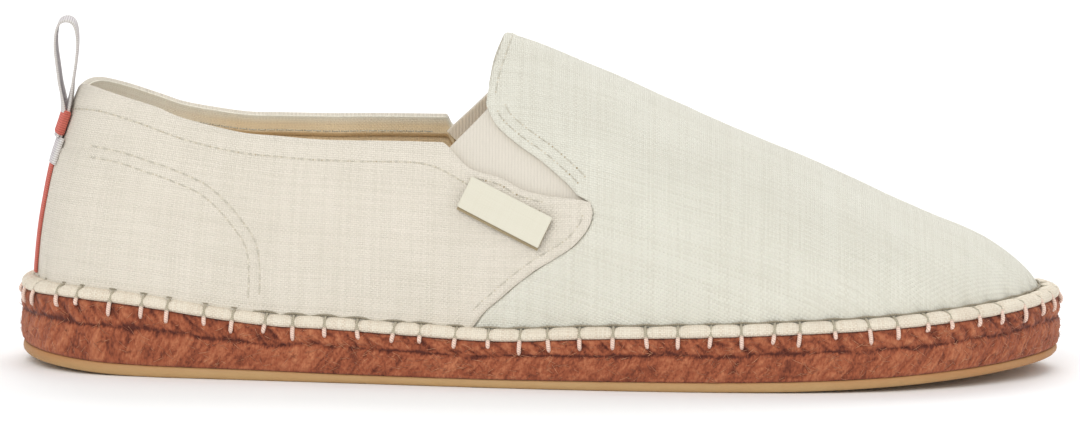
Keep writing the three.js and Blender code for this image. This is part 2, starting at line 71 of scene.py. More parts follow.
LAST = table(
    "along outer inner ledge spine outer_round inner_round",
    [
        (0.0, 0.02, -0.02, 1.2, 0.168, 1.75, 1.75),
        (0.0206, 0.208, 0.175, 1.1, 0.17, 1.7, 1.68),
        (0.066, 0.308, 0.28, 0.95, 0.178, 1.6, 1.58),
        (0.13, 0.35, 0.318, 0.95, 0.2, 1.55, 1.6),
        (0.22, 0.383, 0.318, 1.0, 0.252, 1.47, 1.78),
        (0.34, 0.424, 0.304, 1.0, 0.345, 1.48, 2.05),
        (0.46, 0.468, 0.331, 1.0, 0.46, 1.88, 2.15),
        (0.57, 0.494, 0.408, 1.0, 0.568, 2.2, 2.3),
        (0.67, 0.5, 0.479, 1.0, 0.665, 2.28, 2.3),
        (0.76, 0.49, 0.5, 1.05, 0.75, 2.2, 2.2),
        (0.84, 0.439, 0.479, 1.1, 0.818, 2.05, 2.05),
        (0.91, 0.337, 0.413, 1.2, 0.864, 1.8, 1.8),
        (0.96, 0.209, 0.311, 1.35, 0.884, 1.6, 1.6),
        (0.99, 0.072, 0.189, 1.42, 0.89, 1.45, 1.45),
        (1.0, -0.06, 0.06, 1.45, 0.892, 1.4, 1.4),
    ],
)
STACK = table(
    "along rubber jute",
    [
        (0.0, 1.0, 0.86), (0.035, 1.0, 0.965), (0.08, 1.0, 1.0), (0.125, 1.0, 0.955),
        (0.2, 0.94, 0.8), (0.25, 0.88, 0.735), (0.3, 0.8, 0.73), (0.37, 0.75, 0.68),
        (0.46, 0.75, 0.625), (0.55, 0.8, 0.69), (0.65, 0.85, 0.73), (0.75, 0.88, 0.775),
        (0.9, 0.82, 0.795), (1.0, 0.75, 0.8),
    ],
)


def smooth_curve(places, values):
    """Returns a function that reads the smooth curve through a table's values at any places."""
    places, values = np.asarray(places, float), np.asarray(values, float)
    number = np.arange(len(places))
    ahead = np.minimum(number + 1, len(places) - 1)
    behind = np.maximum(number - 1, 0)
    slopes = (values[ahead] - values[behind]) / (places[ahead] - places[behind])

    def read(place):
        x = np.clip(place, places[0], places[-1])
        i = np.clip(np.searchsorted(places, x, side="right") - 1, 0, len(places) - 2)
        span = places[i + 1] - places[i]
        share = (x - places[i]) / span
        rise = values[i + 1] - values[i]
        bend = (slopes[i] * span - rise) * (1 - share) - (slopes[i + 1] * span - rise) * share
        return values[i] + rise * share + bend * share * (1 - share)

    return read


rubber_share = smooth_curve(STACK["along"], STACK["rubber"])
jute_share = smooth_curve(STACK["along"], STACK["jute"])


def along_of(x):
    return x / SOLE_LENGTH + 0.5


def x_of(along):
    return (along - 0.5) * SOLE_LENGTH


def floor_lift(along):
    """How far the sole's underside springs off the floor at the toe and at the back of the heel."""
    toe_run = np.maximum(0, along - TOE_SPRING_START) / (1 - TOE_SPRING_START)
    heel_run = np.maximum(0, HEEL_SPRING_START - along) / HEEL_SPRING_START
    return TOE_SPRING * toe_run**2 + HEEL_SPRING * heel_run**2


def rubber_top(along):
    return floor_lift(along) + RUBBER_THICKNESS * rubber_share(along)


def jute_top(along):
    return rubber_top(along) + JUTE_THICKNESS * jute_share(along)


def sole_outline(points_per_row=48):
    """Points round the sole through the table's rows: heel end, outer side, toe tip, inner side."""
    outer = np.stack([x_of(LAST["along"]), -LAST["outer"] * BALL_WIDTH], 1)
    inner = np.stack([x_of(LAST["along"]), LAST["inner"] * BALL_WIDTH], 1)
    corners = np.vstack([outer, inner[-2:0:-1]])
    share = np.arange(points_per_row)[:, None] / points_per_row
    spans = []
    for i in range(len(corners)):
        p0, p1, p2, p3 = (corners[(i + k) % len(corners)] for k in (-1, 0, 1, 2))
        d0, d1, d2 = (np.linalg.norm(b - a) ** 0.5 for a, b in ((p0, p1), (p1, p2), (p2, p3)))
        leave = ((p1 - p0) / d0 - (p2 - p0) / (d0 + d1) + (p2 - p1) / d1) * d1
        arrive = ((p2 - p1) / d1 - (p3 - p1) / (d1 + d2) + (p3 - p2) / d2) * d1
        spans.append(
            p1 * (2 * share**3 - 3 * share**2 + 1)
            + leave * (share**3 - 2 * share**2 + share)
            + p2 * (3 * share**2 - 2 * share**3)
            + arrive * (share**3 - share**2)
        )
    return np.vstack(spans)


OUTLINE = sole_outline()
OUTLINE_TURN = np.arange(len(OUTLINE)) / len(OUTLINE)
outline_run = np.roll(OUTLINE, -1, 0) - np.roll(OUTLINE, 1, 0)
outline_run /= np.linalg.norm(outline_run, axis=1)[:, None]
OUTLINE_OUTWARD = np.stack([outline_run[:, 1], -outline_run[:, 0]], 1)
outline_steps = np.linalg.norm(np.roll(OUTLINE, -1, 0) - OUTLINE, axis=1)
OUTLINE_LENGTH = outline_steps.sum()
OUTLINE_ARC = np.concatenate([[0], np.cumsum(outline_steps)[:-1]])


def rim(turn, out):
    """x and y on the sole's outline moved outwards; turn runs from 0 to 1 round the shoe."""
    return tuple(
        np.interp(turn, OUTLINE_TURN, OUTLINE[:, k], period=1)
        + out * np.interp(turn, OUTLINE_TURN, OUTLINE_OUTWARD[:, k], period=1)
        for k in (0, 1)
    )


def turn_at(arc):
    """The turn that lies at a distance round the outline."""
    return np.interp(np.mod(arc, OUTLINE_LENGTH), OUTLINE_ARC, OUTLINE_TURN)


def arc_at(turn):
    """The distance round the outline at a turn, negative on the inner side behind the toe."""
    arc = np.interp(np.mod(turn, 1), OUTLINE_TURN, OUTLINE_ARC)
    return np.where(arc > OUTLINE_LENGTH / 2, arc - OUTLINE_LENGTH, arc)


def add_grid(shape, points, uvs):
    """Adds a grid sheet to a bmesh, each corner moved to its own point, and returns its corners."""
    rows, columns = points.shape[:2]
    layer = shape.loops.layers.uv.verify()
    made = bmesh.ops.create_grid(shape, x_segments=columns - 1, y_segments=rows - 1, size=1)["verts"]
    flat, flat_uvs = points.reshape(-1, 3), uvs.reshape(-1, 2)
    place = {corner: i for i, corner in enumerate(made)}
    for corner, i in place.items():
        corner.co = flat[i]
    for face in {face for corner in made for face in corner.link_faces}:
        for loop in face.loops:
            loop[layer].uv = flat_uvs[place[loop.vert]]
    return made


def merged(shape, distance=0.004 * MM):
    """Closes the seams of a bmesh and turns its faces outwards."""
    bmesh.ops.remove_doubles(shape, verts=shape.verts, dist=distance)
    bmesh.ops.dissolve_degenerate(shape, edges=shape.edges, dist=distance)
    bmesh.ops.recalc_face_normals(shape, faces=shape.faces)
    return shape


def lidded(shape):
    """Fills the open edges of a bmesh."""
    rims = [edge for edge in shape.edges if edge.is_boundary]
    bmesh.ops.edgeloop_fill(shape, edges=rims)
    bmesh.ops.recalc_face_normals(shape, faces=shape.faces)
    return shape


def piece(name, shape, materials, stands_for=()):
    """Makes the object of a finished bmesh and fixes it to the shoe."""
    mesh = bpy.data.meshes.new(name)
    shape.to_mesh(mesh)
    shape.free()
    mesh.shade_smooth()
    for material in materials:
        mesh.materials.append(material)
    made = bpy.data.objects.new(name, mesh)
    bpy.context.scene.collection.objects.link(made)
    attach(made, "root")
    if stands_for:
        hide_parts(*stands_for)
    return made


def paint(colour):
    """A colour given as seen on a screen, 0 to 255, turned into the renderer's own scale."""
    shares = [c / 255 for c in colour]
    return (*[s / 12.92 if s <= 0.04045 else ((s + 0.055) / 1.055) ** 2.4 for s in shares], 1.0)


def add_node(tree, kind, inputs=(), **settings):
    """Adds a shader node, with its settings and its inputs, each a value or another node's socket."""
    made = tree.nodes.new("ShaderNode" + kind)
    for name, value in settings.items():
        setattr(made, name, value)
    for key, value in dict(inputs).items():
        if isinstance(value, bpy.types.NodeSocket):
            tree.links.new(value, made.inputs[key])
        else:
            made.inputs[key].default_value = value
    return made


def sums(tree, operation, first, second=0.0, third=0.0):
    """The output of one Math node."""
    return add_node(tree, "Math", {0: first, 1: second, 2: third}, operation=operation).outputs[0]


def blend_colours(tree, factor, first, second, blend_type="MIX"):
    """The output of one colour Mix node."""
    mix = add_node(tree, "Mix", data_type="RGBA", blend_type=blend_type)
    for key, value in ((0, factor), (6, first), (7, second)):
        if isinstance(value, bpy.types.NodeSocket):
            tree.links.new(value, mix.inputs[key])
        else:
            mix.inputs[key].default_value = value
    return mix.outputs[2]


def mapped(tree, value, low, high, first=0.0, last=1.0):
    """A value carried from one range to another and held at the ends."""
    inputs = {"Value": value, "From Min": low, "From Max": high, "To Min": first, "To Max": last}
    return add_node(tree, "MapRange", inputs).outputs["Result"]


def noise(tree, place, scale, detail=2.0, distortion=0.0):
    """The output of one Noise texture."""
    inputs = {"Vector": place, "Scale": scale, "Detail": detail, "Distortion": distortion}
    return add_node(tree, "TexNoise", inputs).outputs["Fac"]


def ribs(tree, value, pitch):
    """Rounded ribs from 0 to 1, one in each pitch."""
    angle = sums(tree, "MULTIPLY", value, math.pi / pitch)
    return sums(tree, "ABSOLUTE", sums(tree, "SINE", angle))


def shoe_place(tree):
    """The place on the shoe, in metres."""
    return add_node(tree, "TexCoord").outputs["Object"]


def cloth_place(tree):
    """The place on the flat cloth, from the piece's own map."""
    return add_node(tree, "UVMap").outputs["UV"]


def new_material(name, roughness, sheen=0.0):
    """A material with its own Principled shader, and the shader itself."""
    material = bpy.data.materials.new(name)
    material.use_nodes = True
    shader = material.node_tree.nodes["Principled BSDF"]
    shader.inputs["Roughness"].default_value = roughness
    shader.inputs["Sheen Weight"].default_value = sheen
    return material, material.node_tree, shader


def link_surface(tree, shader, colour, height=None, depth=0.1 * MM, roughness=None):
    """Joins colour, relief and roughness to a material's shader."""
    tree.links.new(colour, shader.inputs["Base Color"])
    if height is not None:
        bump = add_node(tree, "Bump", {"Height": height, "Distance": depth, "Strength": 1.0})
        tree.links.new(bump.outputs["Normal"], shader.inputs["Normal"])
    if roughness is not None:
        tree.links.new(roughness, shader.inputs["Roughness"])


def rubber_material():
    material, tree, shader = new_material("crepe_rubber", 0.55)
    place = shoe_place(tree)
    patches = noise(tree, place, 60.0, 6.0)
    grains = noise(tree, place, 900.0, 3.0)
    height = add_node(tree, "SeparateXYZ", {0: place}).outputs["Z"]
    edge = mapped(tree, height, 1.4 * MM, 4.2 * MM)
    shade = sums(tree, "MULTIPLY_ADD", patches, 0.9, -0.25)
    shade = sums(tree, "ADD", shade, edge)
    shade = add_node(tree, "Clamp", {0: sums(tree, "MULTIPLY", shade, 0.6)}).outputs[0]
    colour = blend_colours(tree, shade, paint(RUBBER_HONEY), paint(RUBBER_BROWN))
    diamonds = add_node(tree, "TexVoronoi", {"Vector": place, "Scale": 420.0}).outputs["Distance"]
    relief = sums(tree, "MULTIPLY_ADD", grains, 0.5, sums(tree, "MULTIPLY", diamonds, 0.6))
    link_surface(tree, shader, colour, relief, 0.25 * MM, mapped(tree, patches, 0, 1, 0.45, 0.7))
    return material


RUBBER_EDGE = table(
    "out rise",
    [(-1.9, 0.0), (-1.25, 0.05), (-0.8, 0.22), (-0.65, 0.5), (-0.7, 0.8), (-0.9, 0.97), (-2.6, 1.0)],
)


def make_outsole():
    turn = np.linspace(0, 1, SOLE_COLUMNS + 1)
    sides = []
    for out, rise in zip(RUBBER_EDGE["out"], RUBBER_EDGE["rise"]):
        wander = 0.16 * MM * np.sin(turn * 211) * np.sin(turn * 97 + 1.3) * math.sin(math.pi * rise)
        x, y = rim(turn, out * MM + wander)
        along = along_of(x)
        sides.append(np.stack([x, y, floor_lift(along) + (rubber_top(along) - floor_lift(along)) * rise], -1))
    sides = np.stack(sides)
    shape = bmesh.new()
    add_grid(shape, sides, sides[..., :2])
    outer = sides[0, : SOLE_COLUMNS // 2 + 1]
    inner = sides[0, ::-1][: SOLE_COLUMNS // 2 + 1]
    across = np.linspace(0, 1, UNDERSIDE_ROWS + 1)[:, None, None]
    for level, lift in ((outer, True), (sides[-1, : SOLE_COLUMNS // 2 + 1], False)):
        other = inner if lift else sides[-1, ::-1][: SOLE_COLUMNS // 2 + 1]
        sheet = level * (1 - across) + other * across
        if lift:
            groove = np.exp(-(((sheet[..., 0] - x_of(BREAST)) / BREAST_WIDTH * 2) ** 4))
            sheet[1:-1, :, 2] += (BREAST_DEPTH * groove)[1:-1]
        add_grid(shape, sheet, sheet[..., :2])
    piece("outsole_rubber", merged(shape), [rubber_material()], ["outsole"])


make_outsole()

# Jute sole
# Braid of dyed jute, coiled, pressed and stitched into a slab. At the side it shows as two rows of
# slanting strands that meet in a groove, darkened with painted shade, with loose fibres standing off them.
BRAID_COLUMNS = 1640
BRAID_ROWS = 46
BRAID_PITCH = 5.4 * MM
STRAND_DEPTH = 0.5 * MM
FIBRE_DEPTH = 0.3 * MM
JUTE_DARK = (84, 32, 16)
JUTE_RUST = (150, 78, 48)
JUTE_LIGHT = (192, 122, 84)
MIDDLE_TONE = 0.4
JUTE_SIDE = table(
    "rise out",
    [
        (0.0, -1.2), (0.04, -0.5), (0.15, -0.2), (0.32, 0.0), (0.5, -0.1), (0.57, -0.45),
        (0.6, -0.75), (0.64, -0.45), (0.74, -0.15), (0.88, -0.2), (0.97, -0.5), (1.0, -1.7),
    ],
)
chance = np.random.default_rng(7)
LATTICE = chance.random((256, 256))


def soft_noise(u, v):
    """Smooth random values from 0 to 1 over a plane, the same each time."""
    u0, v0 = np.floor(u).astype(int), np.floor(v).astype(int)
    fu, fv = u - u0, v - v0
    fu, fv = fu * fu * (3 - 2 * fu), fv * fv * (3 - 2 * fv)
    corner = {(a, b): LATTICE[(u0 + a) % 256, (v0 + b) % 256] for a in (0, 1) for b in (0, 1)}
    low = corner[0, 0] * (1 - fu) + corner[1, 0] * fu
    high = corner[0, 1] * (1 - fu) + corner[1, 1] * fu
    return low * (1 - fv) + high * fv


def jute_relief(arc, rise):
    """How far the braid stands out, and how light it is, at a place on the side of the sole; its lightness
    holds painted shade in the strands' troughs and in the groove.
    """
    wander = 2.4 * MM * (soft_noise(arc / (9 * MM), rise * 2.2 + 3) - 0.5)
    split = 0.605 + 0.1 * (soft_noise(arc / (9 * MM), 0 * rise + 31) - 0.5)
    lower = rise < split
    slant = np.where(lower, -0.75 * rise / 0.6, 0.95 * (rise - 0.6) / 0.4)
    phase = (arc + wander) / BRAID_PITCH + slant + np.where(lower, 0.35, 0.0)
    strand = np.abs(np.sin(math.pi * phase)) ** 0.6
    yarn = np.abs(np.sin(3 * math.pi * phase + 4 * soft_noise(arc / (6 * MM), rise * 3)))
    fibre = soft_noise(phase * 31, rise * 7 + 40) * 0.5 + soft_noise(phase * 12, rise * 19 + 90) * 0.5
    lumps = 0.6 * soft_noise(arc / (2.0 * MM), rise * 7 + 17) + 0.4 * soft_noise(arc / (0.8 * MM), rise * 17)
    braid = np.where(lower, 0.55, 1.0)
    out = STRAND_DEPTH * braid * (strand - 0.75) + 0.2 * MM * (yarn - 0.6)
    out = out + FIBRE_DEPTH * (fibre - 0.5) + 0.7 * MM * (lumps - 0.5)
    own = LATTICE[np.floor(phase).astype(int) % 256, np.where(lower, 5, 9)]
    # Tone: the strands' own random tone, plus painted shade that follows their relief.
    tone = 0.36 + 0.26 * braid * (strand - 0.5) + 0.1 * yarn + 0.44 * (fibre - 0.5)
    tone = tone + 0.2 * (own - 0.5) + np.where(lower, 0.4, 0.66) * (lumps - 0.5)
    tone = tone + np.where(lower, 0.04, -0.04)
    # The groove between the rows is sunk and darkened: painted shade.
    width = 0.022 + 0.045 * soft_noise(arc / (5 * MM), 0 * rise + 77)
    gap = np.exp(-(((rise - split - 0.04 * (fibre - 0.5)) / width) ** 2))
    gap = gap * (0.35 + 0.65 * soft_noise(arc / (7 * MM), rise * 0 + 55))
    return out * (1 - 0.5 * gap), np.clip(tone - 0.5 * gap, 0, 1)


def jute_material():
    material, tree, shader = new_material("dyed_jute", 0.92, sheen=0.12)
    tone = add_node(tree, "Attribute", attribute_name="tone").outputs["Fac"]
    flat = cloth_place(tree)
    drawn = add_node(tree, "VectorMath", {0: flat, 1: (1.0, 0.32, 1.0)}, operation="MULTIPLY").outputs[0]
    hairs = noise(tree, drawn, 1900.0, 4.0, 0.6)
    lumps = noise(tree, shoe_place(tree), 260.0, 3.0)
    shade = sums(tree, "MULTIPLY_ADD", hairs, 0.7, sums(tree, "ADD", tone, -0.35))
    shade = sums(tree, "MULTIPLY_ADD", lumps, 0.24, sums(tree, "ADD", shade, -0.12))
    ramp = add_node(tree, "ValToRGB", {0: shade})
    stops = ramp.color_ramp
    stops.elements[0].color, stops.elements[0].position = paint(JUTE_DARK), 0.08
    stops.elements[1].color, stops.elements[1].position = paint(JUTE_LIGHT), 0.95
    stops.elements.new(0.48).color = paint(JUTE_RUST)
    link_surface(tree, shader, ramp.outputs["Color"], hairs, 0.3 * MM)
    return material


def spot_key(point):
    """A point rounded to a thousandth of a millimetre, to look it up by."""
    return tuple(np.round(point / (0.001 * MM)).astype(int))


def add_tone(made, tones):
    """Stores how light each corner of a mesh is, for its material to read."""
    made.data.attributes.new("tone", "FLOAT", "POINT").data.foreach_set("value", tones)


def jute_surface(arc, rise):
    """Points on the side of the braid, and their tone."""
    relief, tone = jute_relief(arc, rise)
    fade = np.clip(np.minimum(rise, 1 - rise) / 0.08, 0, 1)
    out = np.interp(rise, JUTE_SIDE["rise"], JUTE_SIDE["out"]) * MM + relief * fade
    x, y = rim(turn_at(arc), out)
    along = along_of(x)
    z = rubber_top(along) + (jute_top(along) - rubber_top(along)) * rise
    return np.stack([x, y, z], -1), tone


def make_jute_sole():
    arc = np.linspace(0, OUTLINE_LENGTH, BRAID_COLUMNS + 1)[None, :]
    rise = np.linspace(0, 1, BRAID_ROWS)[:, None]
    points, tones = jute_surface(arc + 0 * rise, rise + 0 * arc)
    points[:, -1] = points[:, 0]
    shape = bmesh.new()
    uvs = np.stack([arc + 0 * rise, (rise + 0 * arc) * JUTE_THICKNESS], -1)
    add_grid(shape, points, uvs)
    lidded(merged(shape))
    shape.verts.ensure_lookup_table()
    corners = np.array([corner.co[:] for corner in shape.verts])
    made = piece("jute_braid", shape, [jute_material()], ["jute_sole"])
    known = {spot_key(point): tone for point, tone in zip(points.reshape(-1, 3), tones.reshape(-1))}
    add_tone(made, [known.get(spot_key(corner), MIDDLE_TONE) for corner in corners])


make_jute_sole()

# Canvas upper
# Cotton canvas with a tan lining, in pieces: a vamp with a flap over the instep, and two quarters that meet
# under the heel tape. Each has a folded, stitched edge, and the quarters lap over the vamp.
INSTEP_HEIGHT = 80 * MM
BACK_HEIGHT = 58 * MM
LEDGE_WIDTH = 4.2 * MM
HEM_HEIGHT = 3.4 * MM
HEM_GROOVE_RISE = 0.72
SEAT = RUBBER_THICKNESS + JUTE_THICKNESS
CANVAS_THICKNESS = 1.2 * MM
PANEL_STEP = 0.6 * MM
COUNTER_STEP = 0.4 * MM
HEM_FOLD = 6 * MM
TUCK = 5 * MM
STITCH_PITCH = 8.7 * MM
YARN_PITCH = 0.6 * MM
CANVAS_PALE = (226, 224, 211)
CANVAS_WARM = (229, 221, 207)
CANVAS_SHADE = (196, 190, 172)
LINING_TAN = (250, 224, 182)
LINING_SHADE = (150, 130, 100)
HALVINGS = 32

RIDGE = table(
    "along height swing",
    [
        (0.168, 1.175, -0.02), (0.25, 1.1, -0.035), (0.345, 1.055, -0.035), (0.42, 1.01, -0.02),
        (0.472, 0.993, 0.0), (0.55, 0.867, 0.02), (0.627, 0.735, 0.03), (0.704, 0.602, 0.04),
        (0.782, 0.47, 0.05), (0.859, 0.327, 0.055), (0.892, 0.27, 0.056),
    ],
)
TOPLINE = table(
    "along height",
    [
        (0.0, 0.9), (0.05, 0.975), (0.066, 1.0), (0.085, 0.985), (0.131, 0.924), (0.157, 0.875),
        (0.21, 0.814), (0.2455, 0.797), (0.293, 0.783), (0.348, 0.785), (0.411, 0.785),
    ],
)
INNER_TOPLINE = table(
    "along height",
    [
        (0.0, 0.9), (0.05, 0.975), (0.066, 1.0), (0.085, 0.98), (0.131, 0.9), (0.157, 0.858),
        (0.21, 0.818), (0.2455, 0.8145), (0.293, 0.813), (0.348, 0.817), (0.411, 0.817),
    ],
)
THROAT = table("along height", [(0.446, 0.964), (0.451, 1.103), (0.4575, 1.198), (0.469, 1.34)])
GORE_BACK_EDGE = table(
    "along height",
    [(0.411, 0.769), (0.4324, 0.672), (0.462, 0.633), (0.4817, 0.583), (0.502, 0.56), (0.528, 0.546)],
)
GORE_FRONT_EDGE = table(
    "along height",
    [
        (0.534, 0.565), (0.526, 0.6086), (0.5134, 0.662), (0.498, 0.722), (0.4745, 0.798),
        (0.456, 0.876), (0.446, 0.964),
    ],
)
QUARTER_SEAM = table(
    "along height",
    [
        (0.547, 0.53), (0.549, 0.478), (0.545, 0.412), (0.532, 0.331), (0.515, 0.271),
        (0.496, 0.212), (0.48, 0.15), (0.465, 0.0845), (0.445, -0.01), (0.428, -0.14),
    ],
)
COUNTER_SEAM = table(
    "along height",
    [
        (0.069, 0.693), (0.0966, 0.676), (0.124, 0.636), (0.143, 0.607), (0.175, 0.543),
        (0.195, 0.4655), (0.209, 0.388), (0.2234, 0.281), (0.2269, 0.12), (0.224, -0.14),
    ],
)

turn_share = np.linspace(0, 1, len(LAST["along"]))
ledge_share = smooth_curve(turn_share, LAST["ledge"])
spine_along = smooth_curve(turn_share, LAST["spine"])
outer_round = smooth_curve(turn_share, LAST["outer_round"])
inner_round = smooth_curve(turn_share, LAST["inner_round"])
ridge_height = smooth_curve(RIDGE["along"], RIDGE["height"])
ridge_swing = smooth_curve(RIDGE["along"], RIDGE["swing"])


def station_at(turn):
    """Where a turn lies between the heel at 0 and the toe at 1, on either side."""
    return 1 - np.abs(1 - 2 * turn)


def ledge_at(turn):
    """Width of the ledge of jute outside the foot of the upper."""
    return ledge_share(station_at(turn)) * LEDGE_WIDTH


def section(turn):
    """Foot, crown and roundness of the last's section at a turn round the shoe."""
    turn = np.mod(turn, 1.0)
    station = station_at(turn)
    x, y = rim(turn, -ledge_at(turn))
    foot = np.stack([x, y, jute_top(along_of(x)) + HEM_HEIGHT * HEM_GROOVE_RISE], -1)
    spine = spine_along(station)
    crown_z = jute_top(spine) + ridge_height(spine) * INSTEP_HEIGHT
    crown = np.stack([x_of(spine), ridge_swing(spine) * BALL_WIDTH, crown_z], -1)
    return foot, crown, 2 / np.where(turn <= 0.5, outer_round(station), inner_round(station))


def wall(turn, climb):
    """Points on the upper's outer face: climb runs from 0 at the hem to 1 at the ridge."""
    foot, crown, power = section(turn)
    across = np.clip(np.cos(climb * math.pi / 2), 0, 1) ** power
    up = np.sin(climb * math.pi / 2) ** power
    share = np.stack([across, across, 1 - up], -1)
    return crown * (1 - share) + foot * share


def climb_to(turn, z):
    """The climb at which the wall reaches a height."""
    foot, crown, power = section(turn)
    up = np.clip((z - foot[..., 2]) / (crown[..., 2] - foot[..., 2]), 0, 1)
    return np.arcsin(up ** (1 / power)) * 2 / math.pi


def halved(low, high, below):
    """The values between low and high at which a test stops being true."""
    for _ in range(HALVINGS):
        middle = (low + high) / 2
        under = below(middle)
        low, high = np.where(under, middle, low), np.where(under, high, middle)
    return (low + high) / 2


def on_wall(x, z, side):
    """Turn and climb of the wall's point at x and z on the outer (-1) or the inner (1) side."""

    def short_of_it(share):
        turn = share if side < 0 else 1 - share
        return wall(turn, climb_to(turn, z))[..., 0] < x

    share = halved(np.zeros(np.shape(x)), np.full(np.shape(x), 0.5), short_of_it)
    turn = share if side < 0 else 1 - share
    return turn, climb_to(turn, z)


def distances(points):
    """How far along a line each of its points lies."""
    return np.concatenate([[0], np.cumsum(np.linalg.norm(np.diff(points, axis=0), axis=1))])


def read_along(line, run, places):
    """Points of a line at some distances, given the distance of each of its own points."""
    return np.stack([np.interp(places, run, column) for column in line.T], -1)


def joined(*lines, samples):
    """One or more side-view lines end to end, evenly spaced again."""
    line = np.vstack(lines)
    run = distances(line)
    return read_along(line, run, np.linspace(0, run[-1], samples))


def side_line(rows, samples):
    """A smooth side-view line through a table's rows, as x and z, evenly spaced along it."""
    number = np.arange(len(rows["along"]))
    fine = np.linspace(0, number[-1], 400)
    x = x_of(smooth_curve(number, rows["along"])(fine))
    z = SEAT + smooth_curve(number, rows["height"])(fine) * BACK_HEIGHT
    return joined(np.stack([x, z], -1), samples=samples)


def edge_on_wall(line, side):
    """Turn and climb along a side-view line."""
    return np.stack(on_wall(line[:, 0], line[:, 1], side), -1)


def evenly(spots, count):
    """Turn and climb along a line on the wall, respaced evenly over the cloth."""
    run = distances(wall(*spots.T))
    return read_along(spots, run, np.linspace(0, run[-1], count))


def patch(left, top, right, bottom):
    """Turn and climb over a panel between four edges; left and right go up, top and bottom forward."""
    v = np.linspace(0, 1, len(left))[:, None, None]
    u = np.linspace(0, 1, len(top))[None, :, None]
    rows = (1 - u) * left[:, None] + u * right[:, None]
    columns = (1 - v) * bottom[None] + v * top[None]
    ends = (1 - v) * ((1 - u) * bottom[0] + u * bottom[-1]) + v * ((1 - u) * top[0] + u * top[-1])
    return rows + columns - ends


def line_gap(points, line):
    """Distance of each point from a side-view line, seen from the side."""
    place = points[:, [0, 2]]
    best = np.full(len(place), 1.0)
    for a, b in zip(line[:-1], line[1:]):
        run = b - a
        share = np.clip(((place - a) @ run) / (run @ run + 1e-18), 0, 1)
        best = np.minimum(best, np.linalg.norm(place - a - share[:, None] * run, axis=1))
    return best


def inside(points, line):
    """Whether each point is within a closed side-view line."""
    x, z = points[:, 0], points[:, 2]
    crossings = np.zeros(len(points), bool)
    for a, b in zip(line, np.roll(line, -1, 0)):
        spans = (a[1] > z) != (b[1] > z)
        crossings ^= spans & (x < (b[0] - a[0]) * (z - a[1]) / (b[1] - a[1] + 1e-18) + a[0])
    return crossings


def smooth_step(value, low, high):
    """0 below one value and 1 above another, with a soft rise between."""
    share = np.clip((value - low) / (high - low), 0, 1)
    return share * share * (3 - 2 * share)


seam_line = side_line(QUARTER_SEAM, 60)
gore_back_line = side_line(GORE_BACK_EDGE, 30)
gore_front_line = side_line(GORE_FRONT_EDGE, 40)
throat_line = side_line(THROAT, 16)
top_lines = {-1: side_line(TOPLINE, 90), 1: side_line(INNER_TOPLINE, 90)}
counter_line = side_line(COUNTER_SEAM, 50)
counter_area = np.vstack([counter_line, [[-1, counter_line[-1, 1]], [-1, counter_line[0, 1]]]])

# Soft creases: ends in side view (shares as in the tables), side, depth and width in mm.
# A negative depth is a ridge.
CREASES = table(
    "side along1 height1 along2 height2 depth width",
    [
        (-1, 0.5, 0.46, 0.4, 0.3, 0.5, 7.0),
        (-1, 0.47, 0.36, 0.36, 0.2, -0.4, 8.0),
        (-1, 0.33, 0.72, 0.31, 0.2, 0.45, 8.0),
        (-1, 0.25, 0.7, 0.28, 0.3, -0.4, 9.0),
        (-1, 0.6, 0.86, 0.57, 0.5, 0.5, 8.0),
        (-1, 0.63, 0.2, 0.71, 0.56, -0.45, 10.0),
        (-1, 0.72, 0.12, 0.78, 0.4, 0.5, 9.0),
        (-1, 0.83, 0.1, 0.85, 0.28, 0.5, 6.0),
        (-1, 0.14, 0.2, 0.12, 0.5, 0.4, 8.0),
        (1, 0.46, 0.42, 0.36, 0.24, 0.7, 7.0),
        (1, 0.3, 0.66, 0.27, 0.2, 0.6, 8.0),
        (1, 0.6, 0.8, 0.56, 0.4, 0.6, 8.0),
        (1, 0.75, 0.1, 0.72, 0.4, -0.5, 9.0),
        (1, 0.85, 0.1, 0.83, 0.3, 0.5, 6.0),
    ],
)


def crease_lift(points):
    """Lift from the listed creases and from the cloth's own slow unevenness."""
    x, y, z = points.T
    total = 0.28 * MM * (soft_noise(x / (15 * MM) + 9, z / (11 * MM) + 40 * (y > 0)) - 0.5)
    total = total + 0.1 * MM * (soft_noise(x / (4 * MM), z / (5 * MM)) - 0.5)
    for i, side in enumerate(CREASES["side"]):
        ends = [
            (x_of(CREASES["along" + n][i]), SEAT + CREASES["height" + n][i] * BACK_HEIGHT) for n in "12"
        ]
        gap = line_gap(points, np.array(ends)) / (CREASES["width"][i] * MM)
        faces = smooth_step(y * side, 2 * MM, 8 * MM)
        total = total - CREASES["depth"][i] * MM * np.exp(-((gap * 1.6) ** 2)) * faces
    return total


blanket_count = round(OUTLINE_LENGTH / STITCH_PITCH)
blanket_chance = random.Random(5)
blanket_start = arc_at(on_wall(np.array([20.2 * MM]), np.array([SEAT]), -1)[0])[0]
BLANKET_ARCS = np.array(
    [
        blanket_start + (i + blanket_chance.uniform(-0.11, 0.11)) * OUTLINE_LENGTH / blanket_count
        for i in range(blanket_count)
    ]
)


def stitch_pull(arc, width):
    """1 where a blanket stitch pulls the cloth in, falling to 0 away from it."""
    gap = np.mod(np.asarray(arc)[..., None] - BLANKET_ARCS + OUTLINE_LENGTH / 2, OUTLINE_LENGTH)
    return np.exp(-((np.abs(gap - OUTLINE_LENGTH / 2).min(-1) / width) ** 2))


def foot_pucker(points, arc):
    """Small gathers that rise from the blanket stitches at the foot of the wall."""
    height = points[:, 2] - jute_top(along_of(points[:, 0])) - HEM_HEIGHT * HEM_GROOVE_RISE
    fade = np.exp(-np.clip(height, 0, None) / (4.5 * MM))
    return (0.3 * MM - 0.75 * MM * stitch_pull(arc, 2.0 * MM)) * fade


